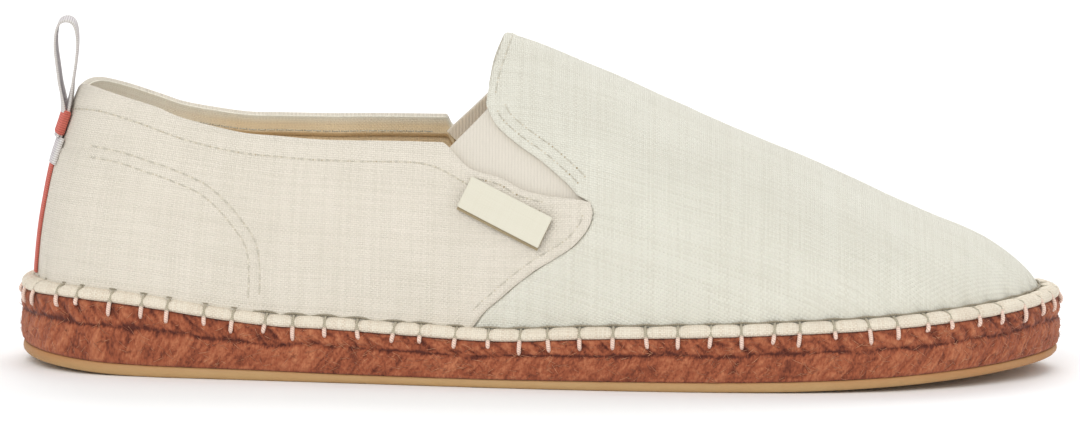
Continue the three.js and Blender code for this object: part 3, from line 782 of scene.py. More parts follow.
def hem_lift(points, line, fold=HEM_FOLD):
    """Fold of cloth along a free edge, drawn in by its row of stitches."""
    gap = line_gap(points, line)
    body = 0.28 * MM * (1 - smooth_step(gap, fold - 0.6 * MM, fold + 0.8 * MM))
    row = 0.3 * MM * np.exp(-(((gap - fold + 0.6 * MM) / (0.8 * MM)) ** 2))
    edge = 0.5 * MM * (1 - smooth_step(gap, 0, 0.9 * MM))
    return body - row - edge


def give_thickness(made, thickness, offset, rounding, corner=30):
    """Gives a sheet its thickness and rounds the edges that turn by more than an angle."""
    skin = made.modifiers.new("thickness", "SOLIDIFY")
    skin.thickness = thickness
    skin.offset = offset
    soft_edge = made.modifiers.new("soft_edge", "BEVEL")
    soft_edge.width = rounding
    soft_edge.segments = 2
    soft_edge.limit_method = "ANGLE"
    soft_edge.angle_limit = math.radians(corner)
    return skin


def cloth_piece(name, halves, lift, materials, thickness, stands_for=()):
    """A sheet of cloth from patches of turn and climb, lifted off the last and given its thickness."""
    shape = bmesh.new()
    arc_layer = shape.verts.layers.float.new("arc")
    for spots, uvs in halves:
        corners = add_grid(shape, wall(spots[..., 0], spots[..., 1]), uvs)
        for corner, arc in zip(corners, arc_at(spots[..., 0]).reshape(-1)):
            corner[arc_layer] = arc
    bmesh.ops.remove_doubles(shape, verts=shape.verts, dist=0.02 * MM)
    bmesh.ops.recalc_face_normals(shape, faces=shape.faces)
    middle = Vector((0, 0, 30 * MM))
    facing = sum(face.normal.dot(face.calc_center_median() - middle) for face in shape.faces)
    if facing < 0:
        bmesh.ops.reverse_faces(shape, faces=shape.faces)
    shape.normal_update()
    points = np.array([corner.co[:] for corner in shape.verts])
    arcs = np.array([corner[arc_layer] for corner in shape.verts])
    for corner, rise in zip(shape.verts, lift(points, arcs)):
        corner.co += corner.normal * float(rise)
    made = piece(name, shape, materials, stands_for)
    skin = give_thickness(made, thickness, -1, thickness * 0.3, 50)
    skin.material_offset = len(materials) - 1


def weave_group():
    """Plain weave of uneven yarns: its relief, and how light each yarn is, darker where it dips as painted
    shade.
    """
    tree = bpy.data.node_groups.new("plain_weave", "ShaderNodeTree")
    for name, kind in (("Vector", "Vector"), ("Pitch", "Float"), ("Slub", "Float")):
        tree.interface.new_socket(name, in_out="INPUT", socket_type="NodeSocket" + kind)
    for name in ("Height", "Tone"):
        tree.interface.new_socket(name, in_out="OUTPUT", socket_type="NodeSocketFloat")
    given = tree.nodes.new("NodeGroupInput").outputs
    result = tree.nodes.new("NodeGroupOutput").inputs
    bend = add_node(tree, "TexNoise", {"Vector": given["Vector"], "Scale": 300.0, "Detail": 2.0})
    centred = add_node(
        tree, "VectorMath", {0: bend.outputs["Color"], 1: (0.5, 0.5, 0.5)}, operation="SUBTRACT"
    )
    sway = add_node(tree, "VectorMath", {0: centred.outputs[0], "Scale": 0.35 * MM}, operation="SCALE")
    bent = add_node(tree, "VectorMath", {0: given["Vector"], 1: sway.outputs[0]}, operation="ADD")
    parts = add_node(tree, "SeparateXYZ", {0: bent.outputs[0]}).outputs
    across = sums(tree, "DIVIDE", parts["X"], given["Pitch"])
    along = sums(tree, "DIVIDE", parts["Y"], given["Pitch"])
    profiles, numbers = [], []
    for axis in (across, along):
        numbers.append(sums(tree, "FLOOR", axis))
        wave = sums(tree, "SINE", sums(tree, "MULTIPLY", sums(tree, "FRACT", axis), math.pi))
        profiles.append(sums(tree, "POWER", wave, 0.7))
    checker = sums(tree, "PINGPONG", sums(tree, "ADD", numbers[0], numbers[1]), 1.0)
    over = add_node(tree, "Mix", {0: checker, 2: profiles[0], 3: profiles[1]}, data_type="FLOAT").outputs[0]
    tones = []
    for number, stretch in ((numbers[0], (1.0, 0.05, 1.0)), (numbers[1], (0.05, 1.0, 1.0))):
        place = add_node(tree, "VectorMath", {0: bent.outputs[0], 1: stretch}, operation="MULTIPLY")
        streak = noise(tree, place.outputs[0], 1300.0, 1.0)
        own = add_node(tree, "TexWhiteNoise", {"W": number}, noise_dimensions="1D").outputs["Value"]
        tones.append(sums(tree, "MULTIPLY_ADD", own, 0.4, sums(tree, "MULTIPLY", streak, 0.6)))
    tone = add_node(tree, "Mix", {0: checker, 2: tones[0], 3: tones[1]}, data_type="FLOAT").outputs[0]
    swell = sums(tree, "MULTIPLY", sums(tree, "SUBTRACT", tone, 0.5), given["Slub"])
    height = sums(tree, "ADD", over, swell)
    tree.links.new(height, result["Height"])
    # Each yarn's own tone, darker where it dips under the next: painted shade.
    shade = sums(tree, "MULTIPLY", tone, sums(tree, "MULTIPLY_ADD", over, 0.35, 0.65))
    tree.links.new(shade, result["Tone"])
    return tree


WEAVE = weave_group()


def woven(tree, pitch, slub):
    """Relief and tone of a plain weave over the flat cloth."""
    inputs = {"Vector": cloth_place(tree), "Pitch": pitch, "Slub": slub}
    return add_node(tree, "Group", inputs, node_tree=WEAVE).outputs


def canvas_material(name, pale, shade, pitch=YARN_PITCH, depth=0.16 * MM, slub=1.2):
    material, tree, shader = new_material(name, 0.9, sheen=0.08)
    weave = woven(tree, pitch, slub)
    # The cloud is the cloth's own uneven colour; the low weave tone mixes in the shade colour as painted
    # shade between the yarns.
    cloud = mapped(tree, noise(tree, shoe_place(tree), 55.0, 5.0), 0.3, 0.75, 0.0, 0.16)
    gap = mapped(tree, weave["Tone"], 0.1, 0.55, 0.42, 0.0)
    colour = blend_colours(tree, sums(tree, "ADD", cloud, gap), paint(pale), paint(shade))
    link_surface(tree, shader, colour, weave["Height"], depth)
    return material


vamp_canvas = canvas_material("vamp_canvas", CANVAS_PALE, CANVAS_SHADE)
quarter_canvas = canvas_material("quarter_canvas", CANVAS_WARM, CANVAS_SHADE)
lining_canvas = canvas_material("lining_twill", LINING_TAN, LINING_SHADE, 0.5 * MM, 0.08 * MM)

ridge_turns = np.linspace(0.0, 0.5, 200)
ridge_points = np.vstack([wall(ridge_turns, np.ones(200)), wall(np.full(60, 0.5), np.linspace(1, 0, 60))])
ridge_run = distances(ridge_points)


def vamp_uvs(points):
    """Cloth coordinates over the vamp: along the ridge, and down from it to either side."""
    order = np.argsort(ridge_points[:, 0])
    x = points[..., 0]
    run, ridge_y, ridge_z = (
        np.interp(x, ridge_points[order, 0], values[order])
        for values in (ridge_run, ridge_points[:, 1], ridge_points[:, 2])
    )
    down = np.hypot(points[..., 1] - ridge_y, points[..., 2] - ridge_z)
    return np.stack([run, np.where(points[..., 1] < ridge_y, -down, down)], -1)


nose_z = SEAT + QUARTER_SEAM["height"][0] * BACK_HEIGHT
VAMP_COLUMNS = 190
VAMP_ROWS = 122


def vamp_half(side):
    """Turn and climb over one half of the vamp, from its back edge to the toe."""
    back = seam_line[::-1]
    low_z = back[0, 1]
    tucked = back.copy()
    tucked[:, 0] -= TUCK * smooth_step(nose_z - tucked[:, 1], 0.5 * MM, 9 * MM)
    line = joined(tucked, gore_front_line, throat_line, samples=VAMP_ROWS * 4)
    spots = edge_on_wall(line[line[:, 1] > low_z], side)
    crest = np.argmax(spots[:, 1] >= 0.9995)
    spots = spots[: crest + 1]
    flap_turn = spots[-1, 0]
    spots[-1] = (flap_turn, 1.0)
    left = evenly(spots, VAMP_ROWS)
    u = np.linspace(0, 1, VAMP_COLUMNS)
    fine = np.linspace(0, 1, 900)
    right = evenly(np.stack([0 * fine + 0.5, fine], -1), VAMP_ROWS)
    top = evenly(np.stack([flap_turn + (0.5 - flap_turn) * fine, 0 * fine + 1], -1), VAMP_COLUMNS)
    bottom_turn = on_wall(left[:1, 0] * 0 + tucked[0, 0], np.array([low_z]), side)[0][0]
    left[0] = (bottom_turn, 0.0)
    bottom = np.stack([bottom_turn + (0.5 - bottom_turn) * u, np.zeros(VAMP_COLUMNS)], -1)
    return patch(left, top, right, bottom)


def vamp_lift(points, arcs):
    """The vamp's folded back edge, its tuck under the quarter and its creases."""
    under = smooth_step(nose_z - points[:, 2], 0, 3 * MM)
    gap = line_gap(points, seam_line)
    ahead = np.interp(points[:, 2], seam_line[::-1, 1], seam_line[::-1, 0]) - points[:, 0]
    tuck = -1.5 * MM * smooth_step(ahead, -0.2 * MM, 1.0 * MM) * under
    dent = -0.12 * MM * np.exp(-((gap / (1.6 * MM)) ** 2)) * under
    hem = hem_lift(points, np.vstack([gore_front_line, throat_line]), 4.4 * MM)
    return tuck + dent + hem + crease_lift(points) + foot_pucker(points, arcs)


def make_vamp():
    halves = []
    for side in (-1, 1):
        spots = vamp_half(side)
        halves.append((spots, vamp_uvs(wall(spots[..., 0], spots[..., 1]))))
    materials = [vamp_canvas, lining_canvas]
    cloth_piece("vamp", halves, vamp_lift, materials, CANVAS_THICKNESS, ["upper"])


make_vamp()

QUARTER_COLUMNS = 250
QUARTER_ROWS = 84
quarter_tops = {
    side: np.vstack([line[:-1], gore_back_line, seam_line[:1]]) for side, line in top_lines.items()
}


def quarter_half(side):
    """Turn and climb over one quarter, from the middle of the heel to its nose."""
    right = edge_on_wall(joined(seam_line[::-1], samples=QUARTER_ROWS), side)
    start = 0.0 if side < 0 else 1.0
    nose = right[-1, 0]
    edge = quarter_tops[side]
    fine = np.linspace(start, nose, 700)

    def under_edge(climb):
        spot = wall(fine, climb)
        return spot[:, 2] < np.interp(spot[:, 0], edge[:, 0], edge[:, 1])

    spots = np.stack([fine, halved(0 * fine, 0 * fine + 0.98, under_edge)], -1)
    spots[-1] = right[-1]
    top = evenly(spots, QUARTER_COLUMNS)
    foot_turn = right[0, 0]
    right[0] = (foot_turn, 0.0)
    share = (arc_at(top[:, 0]) - arc_at(start)) / (arc_at(nose) - arc_at(start))
    bottom = np.stack([turn_at(arc_at(foot_turn) * share), np.zeros(QUARTER_COLUMNS)], -1)
    bottom[:, 0] = np.where((side > 0) & (bottom[:, 0] < 0.25), bottom[:, 0] + 1, bottom[:, 0])
    left = np.stack([np.full(QUARTER_ROWS, start), np.linspace(0, top[0, 1], QUARTER_ROWS)], -1)
    bottom[0], top[0] = left[0], left[-1]
    return patch(left, top, right, bottom)


def quarter_uvs(spots):
    """Cloth coordinates over a quarter: round the shoe, and up from the hem."""
    rise = wall(spots[..., 0], spots[..., 1]) - wall(spots[..., 0], 0 * spots[..., 1])
    return np.stack([arc_at(spots[..., 0]), np.linalg.norm(rise, axis=-1)], -1)


def quarter_lift(points, arcs):
    """The quarter's step over the vamp, the counter under it, its folded edges and its creases."""
    gap = line_gap(points, counter_line)
    edge = 0.5 * smooth_step(gap, 0, 1.5 * MM)
    step = COUNTER_STEP * np.where(inside(points, counter_area), 0.5 + edge, 0.5 - edge)
    rows = 0.22 * MM * (np.exp(-(((gap - 1.2 * MM) / (0.7 * MM)) ** 2)) + np.exp(-((gap / (0.7 * MM)) ** 2)))
    collar = np.where(points[:, 1] < 0, *(hem_lift(points, quarter_tops[side][:-1]) for side in (-1, 1)))
    front = hem_lift(points, seam_line, 4.2 * MM)
    return PANEL_STEP + step - rows + collar + front + crease_lift(points) + foot_pucker(points, arcs)


def make_quarters():
    halves = []
    for side in (-1, 1):
        spots = quarter_half(side)
        halves.append((spots, quarter_uvs(spots)))
    materials = [quarter_canvas, lining_canvas]
    cloth_piece("quarters", halves, quarter_lift, materials, CANVAS_THICKNESS)


make_quarters()

# Hem band and blanket stitch
# The foot of the canvas is folded outwards over the edge of the jute and held by a blanket stitch in
# waxed thread. Each stitch draws the fold in; the thread also runs along the groove above it.
BAND_COLUMNS = 1260
BAND_COLOUR = (238, 229, 210)
BAND_SHADE = (190, 160, 130)
THREAD_RADIUS = 0.6 * MM
THREAD_TWIST = 1.1 * MM
THREAD_PEACH = (248, 216, 198)
THREAD_BAND_SHADE = (188, 178, 154)
THREAD_SHADE = (90, 70, 56)
GROOVE_THREAD_SHADED = (168, 158, 136)
THREAD_ON_BAND = 6.0 * MM
GROOVE_THREAD_RADIUS = 0.3 * MM
BAND_SECTION = table(
    "rise out inset",
    [
        (0.1, -3.6, 0.0), (-0.02, -1.7, 0.0), (0.0, -0.9, 0.0), (0.08, -0.35, 0.0),
        (0.22, -0.02, 0.0), (0.38, 0.08, 0.0), (0.55, -0.08, 0.0), (0.7, -0.45, 0.0),
        (0.84, -1.05, 0.0), (0.94, -1.8, 0.0), (0.98, -2.5, 0.0), (0.95, -1.6, 0.4),
        (0.88, -0.85, 0.7), (0.77, -0.3, 0.92), (0.66, -0.15, 1.0), (0.45, -1.3, 1.0),
    ],
)
BLANKET_PATH = table(
    "out rise radius",
    [
        (-4.5, 2.3, 0.0), (-4.1, 2.8, 0.55), (-3.2, 2.95, 0.6), (-2.1, 2.75, 0.6),
        (-1.2, 2.25, 0.65), (-0.6, 1.5, 0.7), (-0.25, 0.7, 0.8), (0.05, 0.0, 1.0), (0.3, -0.9, 1.0),
        (0.35, -1.9, 1.0), (0.2, -2.7, 0.95), (-0.3, -3.3, 0.7), (-0.9, -3.6, 0.0),
    ],
)


def add_tube(shape, path, radius, sides=8):
    """Adds a tube along a path to a bmesh; a radius of 0 at an end closes it there."""
    path = np.asarray(path, float)
    radius = np.broadcast_to(radius, len(path))
    run = np.gradient(path, axis=0)
    run /= np.linalg.norm(run, axis=1)[:, None]
    aside = np.cross(run[0], (0.3, 0.5, 0.81))
    angles = np.linspace(0, 2 * math.pi, sides + 1)[:, None]
    rings = []
    for centre, forward, reach in zip(path, run, radius):
        aside = aside - forward * (aside @ forward)
        aside /= np.linalg.norm(aside)
        rings.append(centre + reach * (np.cos(angles) * aside + np.sin(angles) * np.cross(forward, aside)))
    lengths = distances(path)[:, None]
    around = np.linspace(0, 1, sides + 1)
    uvs = np.stack([lengths + 0 * around, around + 0 * lengths], -1)
    add_grid(shape, np.stack(rings), uvs)


def thread_material(name, colour, start_colour=None, start=0.0):
    """Twisted two-ply thread, darkened between its plies as painted shade, and of another colour up to a
    distance along it if one is given.
    """
    material, tree, shader = new_material(name, 0.6, sheen=0.15)
    parts = add_node(tree, "SeparateXYZ", {0: cloth_place(tree)}).outputs
    turns = sums(tree, "ADD", sums(tree, "DIVIDE", parts["X"], THREAD_TWIST), parts["Y"])
    hairs = noise(tree, shoe_place(tree), 2600.0)
    relief = sums(tree, "MULTIPLY_ADD", hairs, 0.4, ribs(tree, turns, 0.5))
    shade = mapped(tree, relief, 0.1, 0.9, 0.55, 0.0)
    base = paint(colour)
    if start_colour:
        # Up to the distance the thread takes the start colour; on the blanket stitch that is painted shade in
        # the band's pinch.
        past = mapped(tree, parts["X"], start - 0.4 * MM, start + 0.4 * MM)
        base = blend_colours(tree, past, paint(start_colour), base)
    tint = blend_colours(tree, sums(tree, "MULTIPLY", shade, 0.7), base, paint(THREAD_SHADE))
    link_surface(tree, shader, tint, relief, 0.2 * MM)
    return material


def make_hem_band():
    arc = np.linspace(0, OUTLINE_LENGTH, BAND_COLUMNS + 1)
    turn = turn_at(arc)
    turn[-1] = 1.0
    pull = stitch_pull(arc, 1.1 * MM)
    swell = soft_noise(arc / (13 * MM), arc * 0 + 71) - 0.5
    swell[-1] = swell[0]
    rows = []
    for rise, out, inset in zip(*(BAND_SECTION[k] for k in ("rise", "out", "inset"))):
        top = smooth_step(rise, 0.15, 0.9) * (1 - inset)
        press = 0.7 * MM * pull * (0.45 + 0.55 * top)
        bulge = 0.5 * MM * swell * (rise > 0.1)
        x, y = rim(turn, out * MM - ledge_at(turn) * inset + (bulge - press) * (1 - inset))
        fall = (0.6 * pull * smooth_step(rise, 0.6, 1.0) - 0.5 * swell * smooth_step(rise, 0.3, 1.0)) * MM
        rows.append(np.stack([x, y, jute_top(along_of(x)) + HEM_HEIGHT * rise - fall], -1))
    points = np.stack(rows)
    points[:, -1] = points[:, 0]
    down = distances(points[:, 0])[:, None]
    shape = bmesh.new()
    add_grid(shape, points, np.stack([arc + 0 * down, down + 0 * arc], -1))
    merged(shape)
    bmesh.ops.bridge_loops(shape, edges=[edge for edge in shape.edges if edge.is_boundary])
    bmesh.ops.recalc_face_normals(shape, faces=shape.faces)
    band = canvas_material("band_canvas", BAND_COLOUR, BAND_SHADE)
    piece("hem_band", shape, [band], ["upper"])


def make_blanket_stitches():
    turns = random.Random(11)
    shape = bmesh.new()
    for arc in BLANKET_ARCS:
        lean = turns.uniform(-0.5, 0.5) * MM
        length = turns.uniform(0.4, 1.1)
        path = []
        for out, rise in zip(BLANKET_PATH["out"], BLANKET_PATH["rise"]):
            turn = turn_at(arc - lean * (rise - 1.5) / 4)
            spread = ledge_at(turn) - LEDGE_WIDTH if out < -2 else 0.0
            x, y = rim(turn, out * MM - spread)
            path.append((x, y, jute_top(along_of(x)) + rise * MM * (length if rise < 0 else 1)))
        add_tube(shape, path, BLANKET_PATH["radius"] * THREAD_RADIUS)
    # One cream thread: painted peach on the jute, a painted reflection of the red jute, and greyer over the
    # band as painted shade.
    thread = thread_material("waxed_thread", THREAD_PEACH, THREAD_BAND_SHADE, THREAD_ON_BAND)
    piece("blanket_stitches", merged(shape), [thread])


def make_groove_thread():
    arc = np.linspace(0, OUTLINE_LENGTH, 681)[:-1]
    turn = turn_at(arc)
    sag = 0.35 * MM * (1 - stitch_pull(arc, 2.5 * MM))
    x, y = rim(turn, 0.55 * MM - ledge_at(turn))
    path = np.stack([x, y, jute_top(along_of(x)) + HEM_HEIGHT * 1.04 - sag], -1)
    radius = np.full(len(path) + 1, GROOVE_THREAD_RADIUS)
    radius[[0, -1]] = 0
    shape = bmesh.new()
    add_tube(shape, np.vstack([path, path[:1]]), radius, 6)
    # The cream running thread is painted grey: painted shade where it lies in the groove.
    piece("groove_thread", merged(shape), [thread_material("groove_thread", GROOVE_THREAD_SHADED)])


make_hem_band()
make_blanket_stitches()
make_groove_thread()

# Elastic gores
# A small triangle of ribbed cream elastic on each side, sewn under the vamp and over the quarter's lining.
GORE_ROWS = 44
GORE_COLUMNS = 36
GORE_DEPTH = 1.35 * MM
GORE_UNDERLAP = 2.2 * MM
GORE_TIP_REACH = 3.5 * MM
GORE_COLOUR = (212, 205, 192)
GORE_BACK_LIGHTENED = (250, 240, 222)
GORE_ELASTIC_THICKNESS = 0.9 * MM
RIB_PITCH = 0.9 * MM
COURSE_PITCH = 0.45 * MM


def elastic_material(name, base):
    """Ribbed elastic: ribs one way and finer courses the other, darker in the furrows as painted shade."""
    material, tree, shader = new_material(name, 0.85, sheen=0.1)
    parts = add_node(tree, "SeparateXYZ", {0: cloth_place(tree)}).outputs
    course = ribs(tree, parts["Y"], COURSE_PITCH)
    relief = sums(tree, "MULTIPLY_ADD", course, 0.35, ribs(tree, parts["X"], RIB_PITCH))
    # Darker where the ribs sink: painted shade.
    shade = mapped(tree, relief, 0.1, 1.0, 0.35, 0.0)
    colour = blend_colours(tree, shade, paint(base), paint([0.9 * c for c in base]))
    link_surface(tree, shader, colour, relief, 0.08 * MM)
    return material


gore_elastic = elastic_material("ribbed_elastic", GORE_COLOUR)
# The elastic's inside face is painted much paler than its outside: painted light against the shade inside the
# shoe.
gore_back = elastic_material("elastic_back_painted_light", GORE_BACK_LIGHTENED)


def shifted(line, out):
    """A side-view line moved to its own left by a distance."""
    run = np.gradient(line, axis=0)
    run /= np.linalg.norm(run, axis=1)[:, None]
    return line + out * np.stack([-run[:, 1], run[:, 0]], -1)


def make_gore(name, side, node):
    back = shifted(gore_back_line[::-1], GORE_UNDERLAP)
    front = shifted(gore_front_line, -GORE_UNDERLAP)
    v = np.linspace(0, 1, GORE_ROWS)
    back, front = (read_along(line, np.arange(len(line)), v * (len(line) - 1)) for line in (back, front))
    u = np.linspace(0, 1, GORE_COLUMNS)[None, :, None]
    area = back[:, None] * (1 - u) + front[:, None] * u
    area[..., 0] += GORE_TIP_REACH * (1 - v[:, None]) ** 4
    spots = np.stack(on_wall(area[..., 0], area[..., 1], side), -1)
    uvs = area - area[0, 0]

    def lift(points, arcs):
        wave = 0.12 * MM * np.sin(points[:, 0] / (2.6 * MM)) * smooth_step(points[:, 2], 56 * MM, 70 * MM)
        return -GORE_DEPTH + wave

    faces = [gore_elastic, gore_back]
    cloth_piece(name, [(spots, uvs)], lift, faces, GORE_ELASTIC_THICKNESS, [node])


make_gore("gore_elastic_outer", -1, "gore_outer")
make_gore("gore_elastic_inner", 1, "gore_inner")

# Collar binding
# A strip folded over the collar's edge and stitched down inside, tan along the sides and cream at the heel.
# It is seen on the far side of the opening; a painted shadow makes the dark line along its lower edge.
BINDING_WIDTH = 5.8 * MM
BINDING_ROWS = 12
BINDING_FACE = -CANVAS_THICKNESS + PANEL_STEP - 0.25 * MM
BINDING_THICKNESS = 0.4 * MM
BINDING_TAN = (252, 232, 194)
BINDING_CREAM = (244, 241, 226)
BINDING_EDGE_SHADOW = (206, 172, 124)
BINDING_SHADE = (176, 152, 116)
BINDING_YARN = 0.5 * MM
RIM_HIGHLIGHT_DEPTH = 2.6 * MM
EDGE_SHADOW_WIDTH = 0.7 * MM
HEEL_CREAM_END = -98 * MM


def binding_material():
    material, tree, shader = new_material("binding_tape", 0.9, sheen=0.08)
    down = add_node(tree, "SeparateXYZ", {0: cloth_place(tree)}).outputs["Y"]
    along = add_node(tree, "SeparateXYZ", {0: shoe_place(tree)}).outputs["X"]
    weave = woven(tree, BINDING_YARN, 1.0)
    # Cream along the top, fading into the tan below: painted light where the binding rounds over the rim.
    # Cream at the heel is the binding's own colour.
    below = mapped(tree, down, 0.2 * MM, RIM_HIGHLIGHT_DEPTH)
    forward = mapped(tree, along, HEEL_CREAM_END - 12 * MM, HEEL_CREAM_END + 12 * MM)
    tan_share = sums(tree, "MULTIPLY", below, forward)
    colour = blend_colours(tree, tan_share, paint(BINDING_CREAM), paint(BINDING_TAN))
    # A dark strip along the lower edge: a painted shadow under the binding's edge.
    edge = mapped(tree, down, BINDING_WIDTH - 1.6 * EDGE_SHADOW_WIDTH, BINDING_WIDTH - EDGE_SHADOW_WIDTH)
    colour = blend_colours(tree, edge, colour, paint(BINDING_EDGE_SHADOW))
    # Low weave tone mixes in the shade colour: painted shade between the yarns.
    gap = mapped(tree, weave["Tone"], 0.6, 0.1)
    colour = blend_colours(tree, sums(tree, "MULTIPLY", gap, 0.2), colour, paint(BINDING_SHADE))
    link_surface(tree, shader, colour, weave["Height"], 0.08 * MM)
    return material


def binding_half(side):
    """Turn and climb over the binding on one side, and its cloth coordinates along and down."""
    top = quarter_half(side)[-1]
    top = top[wall(*top.T)[:, 0] < gore_back_line[0, 0] + 1 * MM]
    rim_z = wall(*top.T)[:, 2]
    rows, uvs = [], []
    for share in np.linspace(1, 0, BINDING_ROWS):
        z = rim_z - 0.3 * MM - share * BINDING_WIDTH
        rows.append(np.stack([top[:, 0], climb_to(top[:, 0], z)], -1))
        uvs.append(np.stack([arc_at(top[:, 0]), 0 * z + share * BINDING_WIDTH], -1))
    return np.stack(rows), np.stack(uvs)


def binding_lift(points, arcs):
    """The binding's face inside the collar, creased with the canvas."""
    return BINDING_FACE + crease_lift(points)


def make_binding():
    material = binding_material()
    halves = [binding_half(side) for side in (-1, 1)]
    cloth_piece("collar_binding", halves, binding_lift, [material, material], BINDING_THICKNESS)


make_binding()

# Insole
# A cloth-covered sock of thin board laid on the jute inside the upper, a little dished under the foot.
INSOLE_COLUMNS = 150
INSOLE_ROWS = 32
INSOLE_MARGIN = 2.5 * MM
INSOLE_LIFT = 2.5 * MM
INSOLE_THICKNESS = 1.9 * MM
SOCK_SAND = (196, 178, 146)
SOCK_SHADE = (150, 128, 96)


def make_insole():
    turn = np.linspace(0, 0.5, INSOLE_COLUMNS)
    share = np.linspace(0, 1, INSOLE_ROWS)[:, None]
    edges = []
    for turns in (turn, 1 - turn):
        edges.append(np.stack(rim(turns, -ledge_at(turns) - INSOLE_MARGIN), -1))
    place = edges[0] * (1 - share[..., None]) + edges[1] * share[..., None]
    dish = 0.8 * MM * np.sin(math.pi * share) * np.sin(math.pi * np.linspace(0, 1, INSOLE_COLUMNS))
    z = jute_top(along_of(place[..., 0])) + INSOLE_LIFT - dish
    shape = bmesh.new()
    add_grid(shape, np.concatenate([place, z[..., None]], -1), place)
    merged(shape)
    cloth = canvas_material("insole_cloth", SOCK_SAND, SOCK_SHADE, YARN_PITCH, 0.1 * MM)
    if sum(face.normal.z for face in shape.faces) < 0:
        bmesh.ops.reverse_faces(shape, faces=shape.faces)
    made = piece("insole_sock", shape, [cloth], ["insole"])
    give_thickness(made, INSOLE_THICKNESS, -1, 0.5 * MM)


make_insole()

# Heel tape and pull loop
# Red woven cotton tape is sewn up the middle of the heel. A pale tape of the same width is doubled into
# the loop that stands over the collar; a red wrap holds its foot, and a pale fold lies below the wrap.
TAPE_WIDTH = 13 * MM
TAPE_THICKNESS = 0.9 * MM
TAPE_MIDDLE = -1.96 * MM
TAPE_FOOT = 0.085
TAPE_TOP = 0.738
TAPE_RED = (214, 92, 72)
TAPE_EDGE = (204, 104, 88)
TAPE_SHADE = (120, 80, 66)
LOOP_PALE = (216, 211, 212)
LOOP_EDGE = (222, 219, 214)
TAPE_RIB = 0.6 * MM
TAPE_YARNS = 18
CLEARANCE = 0.3 * MM
LOOP_RISE = 27 * MM
LOOP_WIDTH = 7 * MM
LOOP_FOOT = 5.5 * MM
LOOP_TURN = 1.0
COUNTER_FACE = PANEL_STEP + COUNTER_STEP


def on_heel(y, z):
    """Turn and climb of the wall's point at y and z on the back of the heel."""

    def beyond_it(turn):
        return wall(turn, climb_to(turn, z))[..., 1] > y

    turn = halved(np.full(np.shape(y), -0.12), np.full(np.shape(y), 0.12), beyond_it)
    return turn, climb_to(turn, z)


def tape_material(name, core, border, border_share=0.2):
    """Ribbed woven tape with a border along each edge, darkened between the ribs as painted shade."""
    material, tree, shader = new_material(name, 0.8, sheen=0.1)
    parts = add_node(tree, "SeparateXYZ", {0: cloth_place(tree)}).outputs
    yarn = ribs(tree, parts["X"], 1 / TAPE_YARNS)
    relief = sums(tree, "MULTIPLY_ADD", yarn, 0.5, ribs(tree, parts["Y"], TAPE_RIB))
    middle = sums(tree, "ABSOLUTE", sums(tree, "SUBTRACT", parts["X"], 0.5))
    edge = sums(tree, "GREATER_THAN", middle, 0.5 - border_share)
    colour = blend_colours(tree, edge, paint(core), paint(border))
    # Darker where the ribs sink: painted shade.
    gap = mapped(tree, relief, 0.1, 1.2, 0.5, 0.0)
    tint = blend_colours(tree, gap, colour, paint(TAPE_SHADE), "MULTIPLY")
    link_surface(tree, shader, tint, relief, 0.15 * MM)
    return material


red_tape = tape_material("red_tape", TAPE_RED, TAPE_EDGE, 0.03)
pale_tape = tape_material("pale_tape", LOOP_PALE, LOOP_EDGE, 0.12)


def on_heel_sheet(name, low, high, width, lift, material, thickness, rows=40):
    """A strip of tape or cloth up the back of the heel between two heights."""
    share = np.linspace(0, 1, 15)[None, :]
    z = np.linspace(low, high, rows)[:, None] + 0 * share
    y = TAPE_MIDDLE + (share - 0.5) * width + 0 * z
    spots = np.stack(on_heel(y, z), -1)
    uvs = np.stack([share + 0 * z, z], -1)

    def raise_by(points, arcs):
        return lift + crease_lift(points)

    cloth_piece(name, [(spots, uvs)], raise_by, [material, material], thickness, ["heel_tape"])


tape_top_z = SEAT + TAPE_TOP * BACK_HEIGHT
on_heel_sheet(
    "heel_tape_strip",
    SEAT + TAPE_FOOT * BACK_HEIGHT,
    tape_top_z - 2 * MM,
    TAPE_WIDTH,
    COUNTER_FACE + 0.75 * TAPE_THICKNESS,
    red_tape,
    0.7 * TAPE_THICKNESS,
)
on_heel_sheet(
    "heel_fold",
    tape_top_z - 7.6 * MM,
    tape_top_z - 0.2 * MM,
    TAPE_WIDTH * 1.3,
    COUNTER_FACE + 1.05 * TAPE_THICKNESS,
    pale_tape,
    TAPE_THICKNESS,
    16,
)
on_heel_sheet(
    "loop_foot",
    tape_top_z + 0.4 * MM,
    tape_top_z + 2 * CLEARANCE + LOOP_FOOT + 0.8 * MM,
    TAPE_WIDTH * 1.06,
    COUNTER_FACE + 2.3 * TAPE_THICKNESS,
    red_tape,
    2.2 * TAPE_THICKNESS,
    14,
)


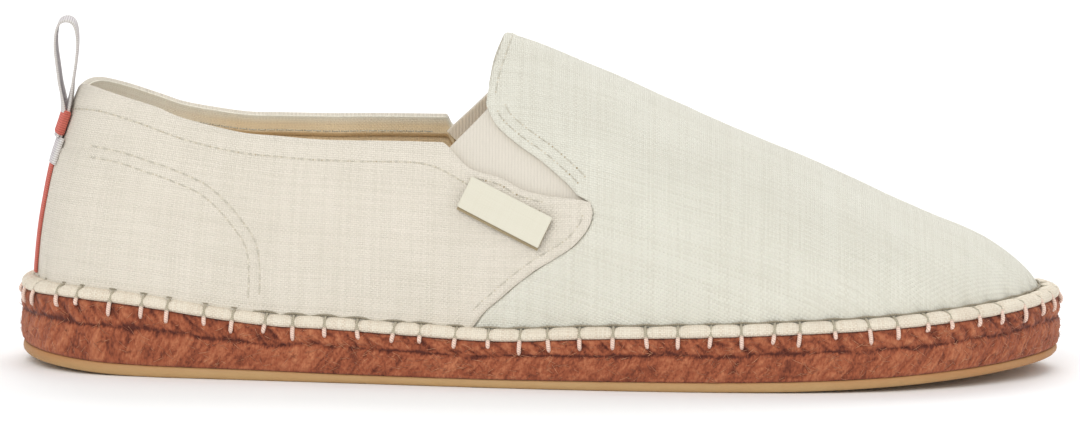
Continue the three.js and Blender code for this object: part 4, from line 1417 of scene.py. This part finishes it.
def make_pull_loop():
    foot_z = tape_top_z + 2 * CLEARANCE
    neck_z = foot_z + LOOP_FOOT
    seat = {}
    for z in (foot_z, neck_z):
        turn, climb = on_heel(np.array([TAPE_MIDDLE]), np.array([z]))
        seat[z] = wall(turn, climb)[0, 0] - COUNTER_FACE - CLEARANCE - TAPE_THICKNESS / 2
    apex = seat[neck_z] + LOOP_WIDTH * 0.07
    half = (LOOP_WIDTH - TAPE_THICKNESS) / 2
    legs = []
    for side in (-1, 1):
        back = TAPE_THICKNESS * 0.95 if side < 0 else 0
        legs.append(
            [
                (seat[foot_z] - back, foot_z - 0.5 * MM),
                (seat[neck_z] - back, neck_z),
                (apex + side * half * 0.62, neck_z + LOOP_RISE * 0.36),
                (apex + side * half, neck_z + LOOP_RISE * 0.72),
                (apex + side * half * 0.76, neck_z + LOOP_RISE * 0.93),
            ]
        )
    line = np.array(legs[0] + [(apex, neck_z + LOOP_RISE * 0.985)] + legs[1][::-1])
    number = np.arange(len(line))
    fine = np.linspace(0, number[-1], 120)
    path = np.stack([smooth_curve(number, line[:, k])(fine) for k in (0, 1)], -1)
    share = np.linspace(0, 1, 15)[None, :]
    run = distances(path)[:, None]
    y = TAPE_MIDDLE + (share - 0.5) * TAPE_WIDTH
    sway = 0.25 * MM * np.sin(run / (9 * MM)) * (share - 0.4)
    rise = (path[:, 1:] - neck_z) / LOOP_RISE
    turned = np.tan(np.radians(LOOP_TURN * (1.3 - 0.7 * rise))) * (y - TAPE_MIDDLE)
    heel_x = wall(*on_heel(y, 0 * y + neck_z))[..., 0]
    bow = (heel_x - heel_x.min()) * (1 - smooth_step(rise, 0, 0.4))
    x = path[:, :1] + (sway - turned) * smooth_step(rise, 0, 0.3) + bow
    points = np.stack([x, y + 0 * x, path[:, 1:] + 0 * x], -1)
    shape = bmesh.new()
    add_grid(shape, points, np.stack([share + 0 * run, run + 0 * share], -1))
    merged(shape)
    made = piece("pull_loop_tape", shape, [pale_tape], ["pull_loop"])
    give_thickness(made, TAPE_THICKNESS * 0.72, 0, 0.25 * MM)


make_pull_loop()

# Side tab
# A small blank label of folded satin tape, sewn at its upper left so its lower edge stands off the shoe.
# A dark under leaf shows below the label's lower edge: a painted shadow.
TAB_CENTRE = (0.467, 0.472)
TAB_LENGTH = 24.6 * MM
TAB_WIDTH = 9 * MM
TAB_THICKNESS = 1.1 * MM
TAB_TILT = math.radians(-25)
TAB_COLOUR = (217, 213, 196)
TAB_SHADE = (208, 202, 182)
UNDER_LEAF_DROP = 0.75 * MM
UNDER_LEAF_SHADOW_COLOUR = (168, 152, 120)
UNDER_LEAF_SHADE = (130, 112, 84)
SATIN_YARN = 0.36 * MM


def add_label_leaf(name, drop, thickness, share, material):
    """One leaf of the label, lowered by a distance and held off the quarter by a share of its stand."""
    u = np.linspace(-0.5, 0.5, 50)[None, :]
    v = np.linspace(-0.5, 0.5, 22)[:, None]
    along, up = u * TAB_LENGTH + 0 * v, v * TAB_WIDTH + 0 * u - drop
    x = x_of(TAB_CENTRE[0]) + along * math.cos(TAB_TILT) - up * math.sin(TAB_TILT)
    z = SEAT + TAB_CENTRE[1] * BACK_HEIGHT + along * math.sin(TAB_TILT) + up * math.cos(TAB_TILT)
    spots = np.stack(on_wall(x, z, -1), -1)
    uvs = np.stack([along, up], -1)

    def lift(points, arcs):
        dx = points[:, 0] - x_of(TAB_CENTRE[0])
        dz = points[:, 2] - SEAT - TAB_CENTRE[1] * BACK_HEIGHT
        along_here = dx * math.cos(TAB_TILT) + dz * math.sin(TAB_TILT)
        up_here = -dx * math.sin(TAB_TILT) + dz * math.cos(TAB_TILT)
        stand = 0.8 * MM * smooth_step(-up_here, -TAB_WIDTH / 2, TAB_WIDTH / 2)
        stand = stand + 0.6 * MM * smooth_step(along_here, 0, TAB_LENGTH / 2)
        return PANEL_STEP + 0.35 * MM + (TAB_THICKNESS + stand) * share

    cloth_piece(name, [(spots, uvs)], lift, [material, material], thickness, ["side_tab"])


def make_side_tab():
    weave = (SATIN_YARN, 0.03 * MM, 0.4)
    satin = canvas_material("satin_label", TAB_COLOUR, TAB_SHADE, *weave)
    # The under leaf is a dark sheet standing for the shadow under the label's lower edge: a painted shadow.
    under = canvas_material("label_shadow_leaf", UNDER_LEAF_SHADOW_COLOUR, UNDER_LEAF_SHADE, *weave)
    add_label_leaf("side_label", 0, TAB_THICKNESS * 0.6, 1.0, satin)
    add_label_leaf("label_shadow_leaf", UNDER_LEAF_DROP, TAB_THICKNESS * 0.3, 0.45, under)


make_side_tab()

# Machine stitches
# Cream cotton thread in rows along the folded edges. Two rows hold the vamp over the gore, the gore to the
# quarter and the counter panel inside the heel; each needle hole is a small disc of painted shade.
STITCH_RADIUS = 0.15 * MM
HOLE_RADIUS = 0.26 * MM
STITCH_SHARE = 0.72
STITCH_CREAM = (226, 220, 202)
HOLE_SHADE_BROWN = (150, 132, 98)
HOLE_PALE = (214, 206, 188)
INSIDE_ROW = 4.6 * MM
hole_chance = random.Random(33)


def surface_points(spots, lift, extra=0.0):
    """Points on a lifted panel, and the panel's outward direction there."""
    turn, climb = spots[:, 0], np.clip(spots[:, 1], 0.004, 0.996)
    around = wall(turn + 0.001, climb) - wall(turn - 0.001, climb)
    upward = wall(turn, climb + 0.003) - wall(turn, climb - 0.003)
    normal = np.cross(upward, around)
    normal /= np.linalg.norm(normal, axis=1)[:, None]
    base = wall(turn, climb)
    outward = base - np.array([0, 0, 30 * MM])
    normal *= np.sign((normal * outward).sum(-1))[:, None]
    return base + normal * (lift(base, arc_at(turn)) + extra)[:, None], normal


def softened(line, samples=160, reach=12):
    """A side-view line with its corners rounded."""
    line = joined(line, samples=samples)
    padded = np.pad(line, ((reach, reach), (0, 0)), mode="reflect", reflect_type="odd")
    weights = np.hanning(2 * reach + 3)[1:-1]
    weights /= weights.sum()
    return np.stack([np.convolve(padded[:, k], weights, mode="valid") for k in (0, 1)], -1)


def add_stitches(threads, holes, line, side, lift, pitch, dark, face=1):
    """A row of stitches along a side-view line, with a hole at both ends; face is -1 inside the shoe."""
    tone = holes.verts.layers.float["tone"]
    line = joined(line, samples=max(8, int(len(line) * 3)))
    points, normals = surface_points(edge_on_wall(line, side), lift)
    normals = normals * face
    run = distances(points)
    height = np.array([-0.25, 0.06, 0.12, 0.06, -0.25])[:, None] * MM
    for first in np.arange(0.4 * MM, run[-1] - pitch, pitch):
        places = first + np.linspace(0, pitch * STITCH_SHARE, 5)
        path = read_along(points, run, places)
        away = read_along(normals, run, places)
        add_tube(threads, path + away * height, np.array([0, 1, 1, 1, 0]) * STITCH_RADIUS, 5)
        for end in (0, -1):
            turned = Vector(away[end]).to_track_quat("Z", "Y").to_matrix().to_4x4()
            turned.translation = Vector(path[end] + away[end] * 0.06 * MM)
            # Each hole is a flat disc of painted shade.
            disc = bmesh.ops.create_circle(
                holes, cap_ends=True, segments=8, radius=HOLE_RADIUS, matrix=turned
            )
            own = dark * hole_chance.choice((0.15, 0.3, 0.6, 1.0, 1.5))
            for corner in disc["verts"]:
                corner[tone] = own


def inner_face(points, arcs):
    """The face of the binding that is seen inside the shoe."""
    return binding_lift(points, arcs) - BINDING_THICKNESS


def make_stitches():
    threads, holes = bmesh.new(), bmesh.new()
    holes.verts.layers.float.new("tone")
    vamp_edge = np.vstack([gore_front_line[:-1], throat_line])
    nose_edge = np.vstack([gore_back_line[8:], seam_line[:1]])
    rows = [
        (shifted(vamp_edge, -2.2 * MM)[2:-14], vamp_lift, 4.6 * MM, 0.8),
        (shifted(vamp_edge, -4.8 * MM)[2:-14], vamp_lift, 4.6 * MM, 0.55),
        (shifted(vamp_edge, -2.2 * MM)[-14:], vamp_lift, 4.6 * MM, 0.3),
        (shifted(nose_edge, -1.9 * MM)[:-3], quarter_lift, 4.2 * MM, 0.8),
        (shifted(nose_edge, -4.4 * MM)[:-5], quarter_lift, 4.2 * MM, 0.7),
        (shifted(seam_line, -2.6 * MM)[4:-8], quarter_lift, 4.6 * MM, 0.35),
        (shifted(counter_line, -1.0 * MM)[:-6], quarter_lift, 3.4 * MM, 0.22),
        (shifted(counter_line, 2.0 * MM)[:-6], quarter_lift, 3.4 * MM, 0.22),
    ]
    for side, top_line in top_lines.items():
        inside_row = shifted(top_line, -INSIDE_ROW)[6:-3]
        add_stitches(threads, holes, inside_row, side, inner_face, 2.6 * MM, 0.3, face=-1)
        under_gore = shifted(gore_back_line, -5.0 * MM)[9:12]
        collar_row = softened(np.vstack([shifted(top_line, -5.6 * MM)[3:-3], under_gore]))
        for line, lift, pitch, dark in [(collar_row, quarter_lift, 2.4 * MM, 0.35), *rows]:
            add_stitches(threads, holes, line, side, lift, pitch, dark)
    piece("machine_stitches", merged(threads), [thread_material("cotton_thread", STITCH_CREAM)])
    material, tree, shader = new_material("needle_holes", 0.95)
    spread = noise(tree, shoe_place(tree), 300.0)
    dark = add_node(tree, "Attribute", attribute_name="tone").outputs["Fac"]
    # Holes darker by their tone and a noise: painted shade in the needle pits.
    shade = sums(tree, "MULTIPLY", dark, sums(tree, "MULTIPLY", spread, 2.0))
    link_surface(tree, shader, blend_colours(tree, shade, paint(HOLE_PALE), paint(HOLE_SHADE_BROWN)))
    piece("needle_holes", holes, [material])


make_stitches()

# Loose jute fibres
# Broken ends of the braid: most lie along the strands, some stand off in small curls.
LOOSE_FIBRES = 1500
FIBRE_RADIUS = 0.07 * MM
FIBRE_DARK = (128, 62, 36)
FIBRE_LIGHT = (206, 146, 108)


def make_loose_fibres():
    turns = random.Random(21)
    shape = bmesh.new()
    for _ in range(LOOSE_FIBRES):
        free = turns.random() < 0.3
        arc, rise = turns.uniform(0, OUTLINE_LENGTH), turns.uniform(0.06, 0.95)
        slope = turns.uniform(-0.9, 0.9) if free else turns.uniform(0.1, 0.5)
        length = turns.uniform(1.5, 4.5) * MM
        share = np.linspace(0, 1, 4)
        rises = np.clip(rise + share * slope * length / (12 * MM), 0.03, 0.97)
        arcs = arc + share * length * turns.choice((-0.8, 0.8)) * (1 - abs(slope) * 0.5)
        base, _ = jute_surface(arcs, rises)
        x, y = rim(turn_at(arcs), 1 * MM)
        x0, y0 = rim(turn_at(arcs), 0)
        away = np.stack([x - x0, y - y0, 0 * x], -1) / MM
        if free:
            stand = turns.uniform(0.4, 1.5) * MM * share ** turns.uniform(1.0, 2.0)
        else:
            stand = 0.22 * MM * np.sin(math.pi * share) + 0.05 * MM
        add_tube(shape, base + away * stand[:, None], np.array([1, 1, 1, 0]) * FIBRE_RADIUS, 3)
    material, tree, shader = new_material("jute_fibres", 0.8, sheen=0.1)
    far = mapped(tree, noise(tree, shoe_place(tree), 420.0), 0.35, 0.65)
    link_surface(tree, shader, blend_colours(tree, far, paint(FIBRE_DARK), paint(FIBRE_LIGHT)))
    piece("loose_fibres", lidded(merged(shape)), [material])


make_loose_fibres()

# Studio
# A wide pale floor, three large soft lights round the shoe and pale light from all sides. The camera looks
# at the outer side from the photo's own angle.
CAMERA_TURN = 0.6
CAMERA_RISE = 7.8
CAMERA_ROLL = 0.66
CAMERA_DISTANCE = 2500 * MM
SENSOR_WIDTH = 36
FRAME_WIDTH_PX = 1080
PX_PER_METRE = 3577
PX_OF_MIDDLE = (542.2, 364.1)
FRAME_MIDDLE_PX = (540, 211.5)
FLOOR_REACH = 3.0
FLOOR_WHITE = (250, 250, 250)
LIGHTS_AIM = (0, 0, 0.04)
WORLD_LIGHT = 0.72


def make_camera():
    turn, rise = math.radians(CAMERA_TURN), math.radians(CAMERA_RISE)
    back = Vector((math.sin(turn) * math.cos(rise), -math.cos(turn) * math.cos(rise), math.sin(rise)))
    right = Vector((math.cos(turn), math.sin(turn), 0))
    up = back.cross(right)
    lens = bpy.data.cameras.new("camera")
    lens.sensor_width = SENSOR_WIDTH
    lens.lens = SENSOR_WIDTH * CAMERA_DISTANCE * PX_PER_METRE / FRAME_WIDTH_PX
    lens.clip_end = 100
    middle = right * ((FRAME_MIDDLE_PX[0] - PX_OF_MIDDLE[0]) / PX_PER_METRE)
    middle += up * ((PX_OF_MIDDLE[1] - FRAME_MIDDLE_PX[1]) / PX_PER_METRE)
    camera = bpy.data.objects.new("camera", lens)
    bpy.context.scene.collection.objects.link(camera)
    camera.location = middle + back * CAMERA_DISTANCE
    camera.rotation_mode = "QUATERNION"
    level = (-back).to_track_quat("-Z", "Y")
    camera.rotation_quaternion = level @ Quaternion((0, 0, 1), math.radians(CAMERA_ROLL))
    bpy.context.scene.camera = camera


def make_light(name, place, size, power, colour=(1, 1, 1)):
    light = bpy.data.lights.new(name, "AREA")
    light.shape = "RECTANGLE"
    light.size, light.size_y = size
    light.energy = power
    light.color = colour
    made = bpy.data.objects.new(name, light)
    bpy.context.scene.collection.objects.link(made)
    made.location = place
    made.rotation_mode = "QUATERNION"
    made.rotation_quaternion = (Vector(LIGHTS_AIM) - Vector(place)).to_track_quat("-Z", "Y")


def make_floor():
    shape = bmesh.new()
    bmesh.ops.create_grid(shape, x_segments=8, y_segments=8, size=FLOOR_REACH)
    mesh = bpy.data.meshes.new("floor")
    shape.to_mesh(mesh)
    shape.free()
    floor = bpy.data.objects.new("floor", mesh)
    bpy.context.scene.collection.objects.link(floor)
    material, tree, shader = new_material("floor_paint", 0.8)
    shader.inputs["Base Color"].default_value = paint(FLOOR_WHITE)
    mesh.materials.append(material)


make_camera()
make_floor()
make_light("key", (-0.5, -1.3, 0.95), (1.2, 1.0), 11)
make_light("fill", (1.2, -0.7, 0.8), (1.0, 1.0), 3.5)
make_light("back", (0.2, 1.1, 1.1), (1.4, 0.8), 11)
world = bpy.data.worlds.new("studio")
world.use_nodes = True
world.node_tree.nodes["Background"].inputs["Color"].default_value = (1, 1, 1, 1)
world.node_tree.nodes["Background"].inputs["Strength"].default_value = WORLD_LIGHT
bpy.context.scene.world = world
bpy.context.scene.view_settings.view_transform = "Standard"
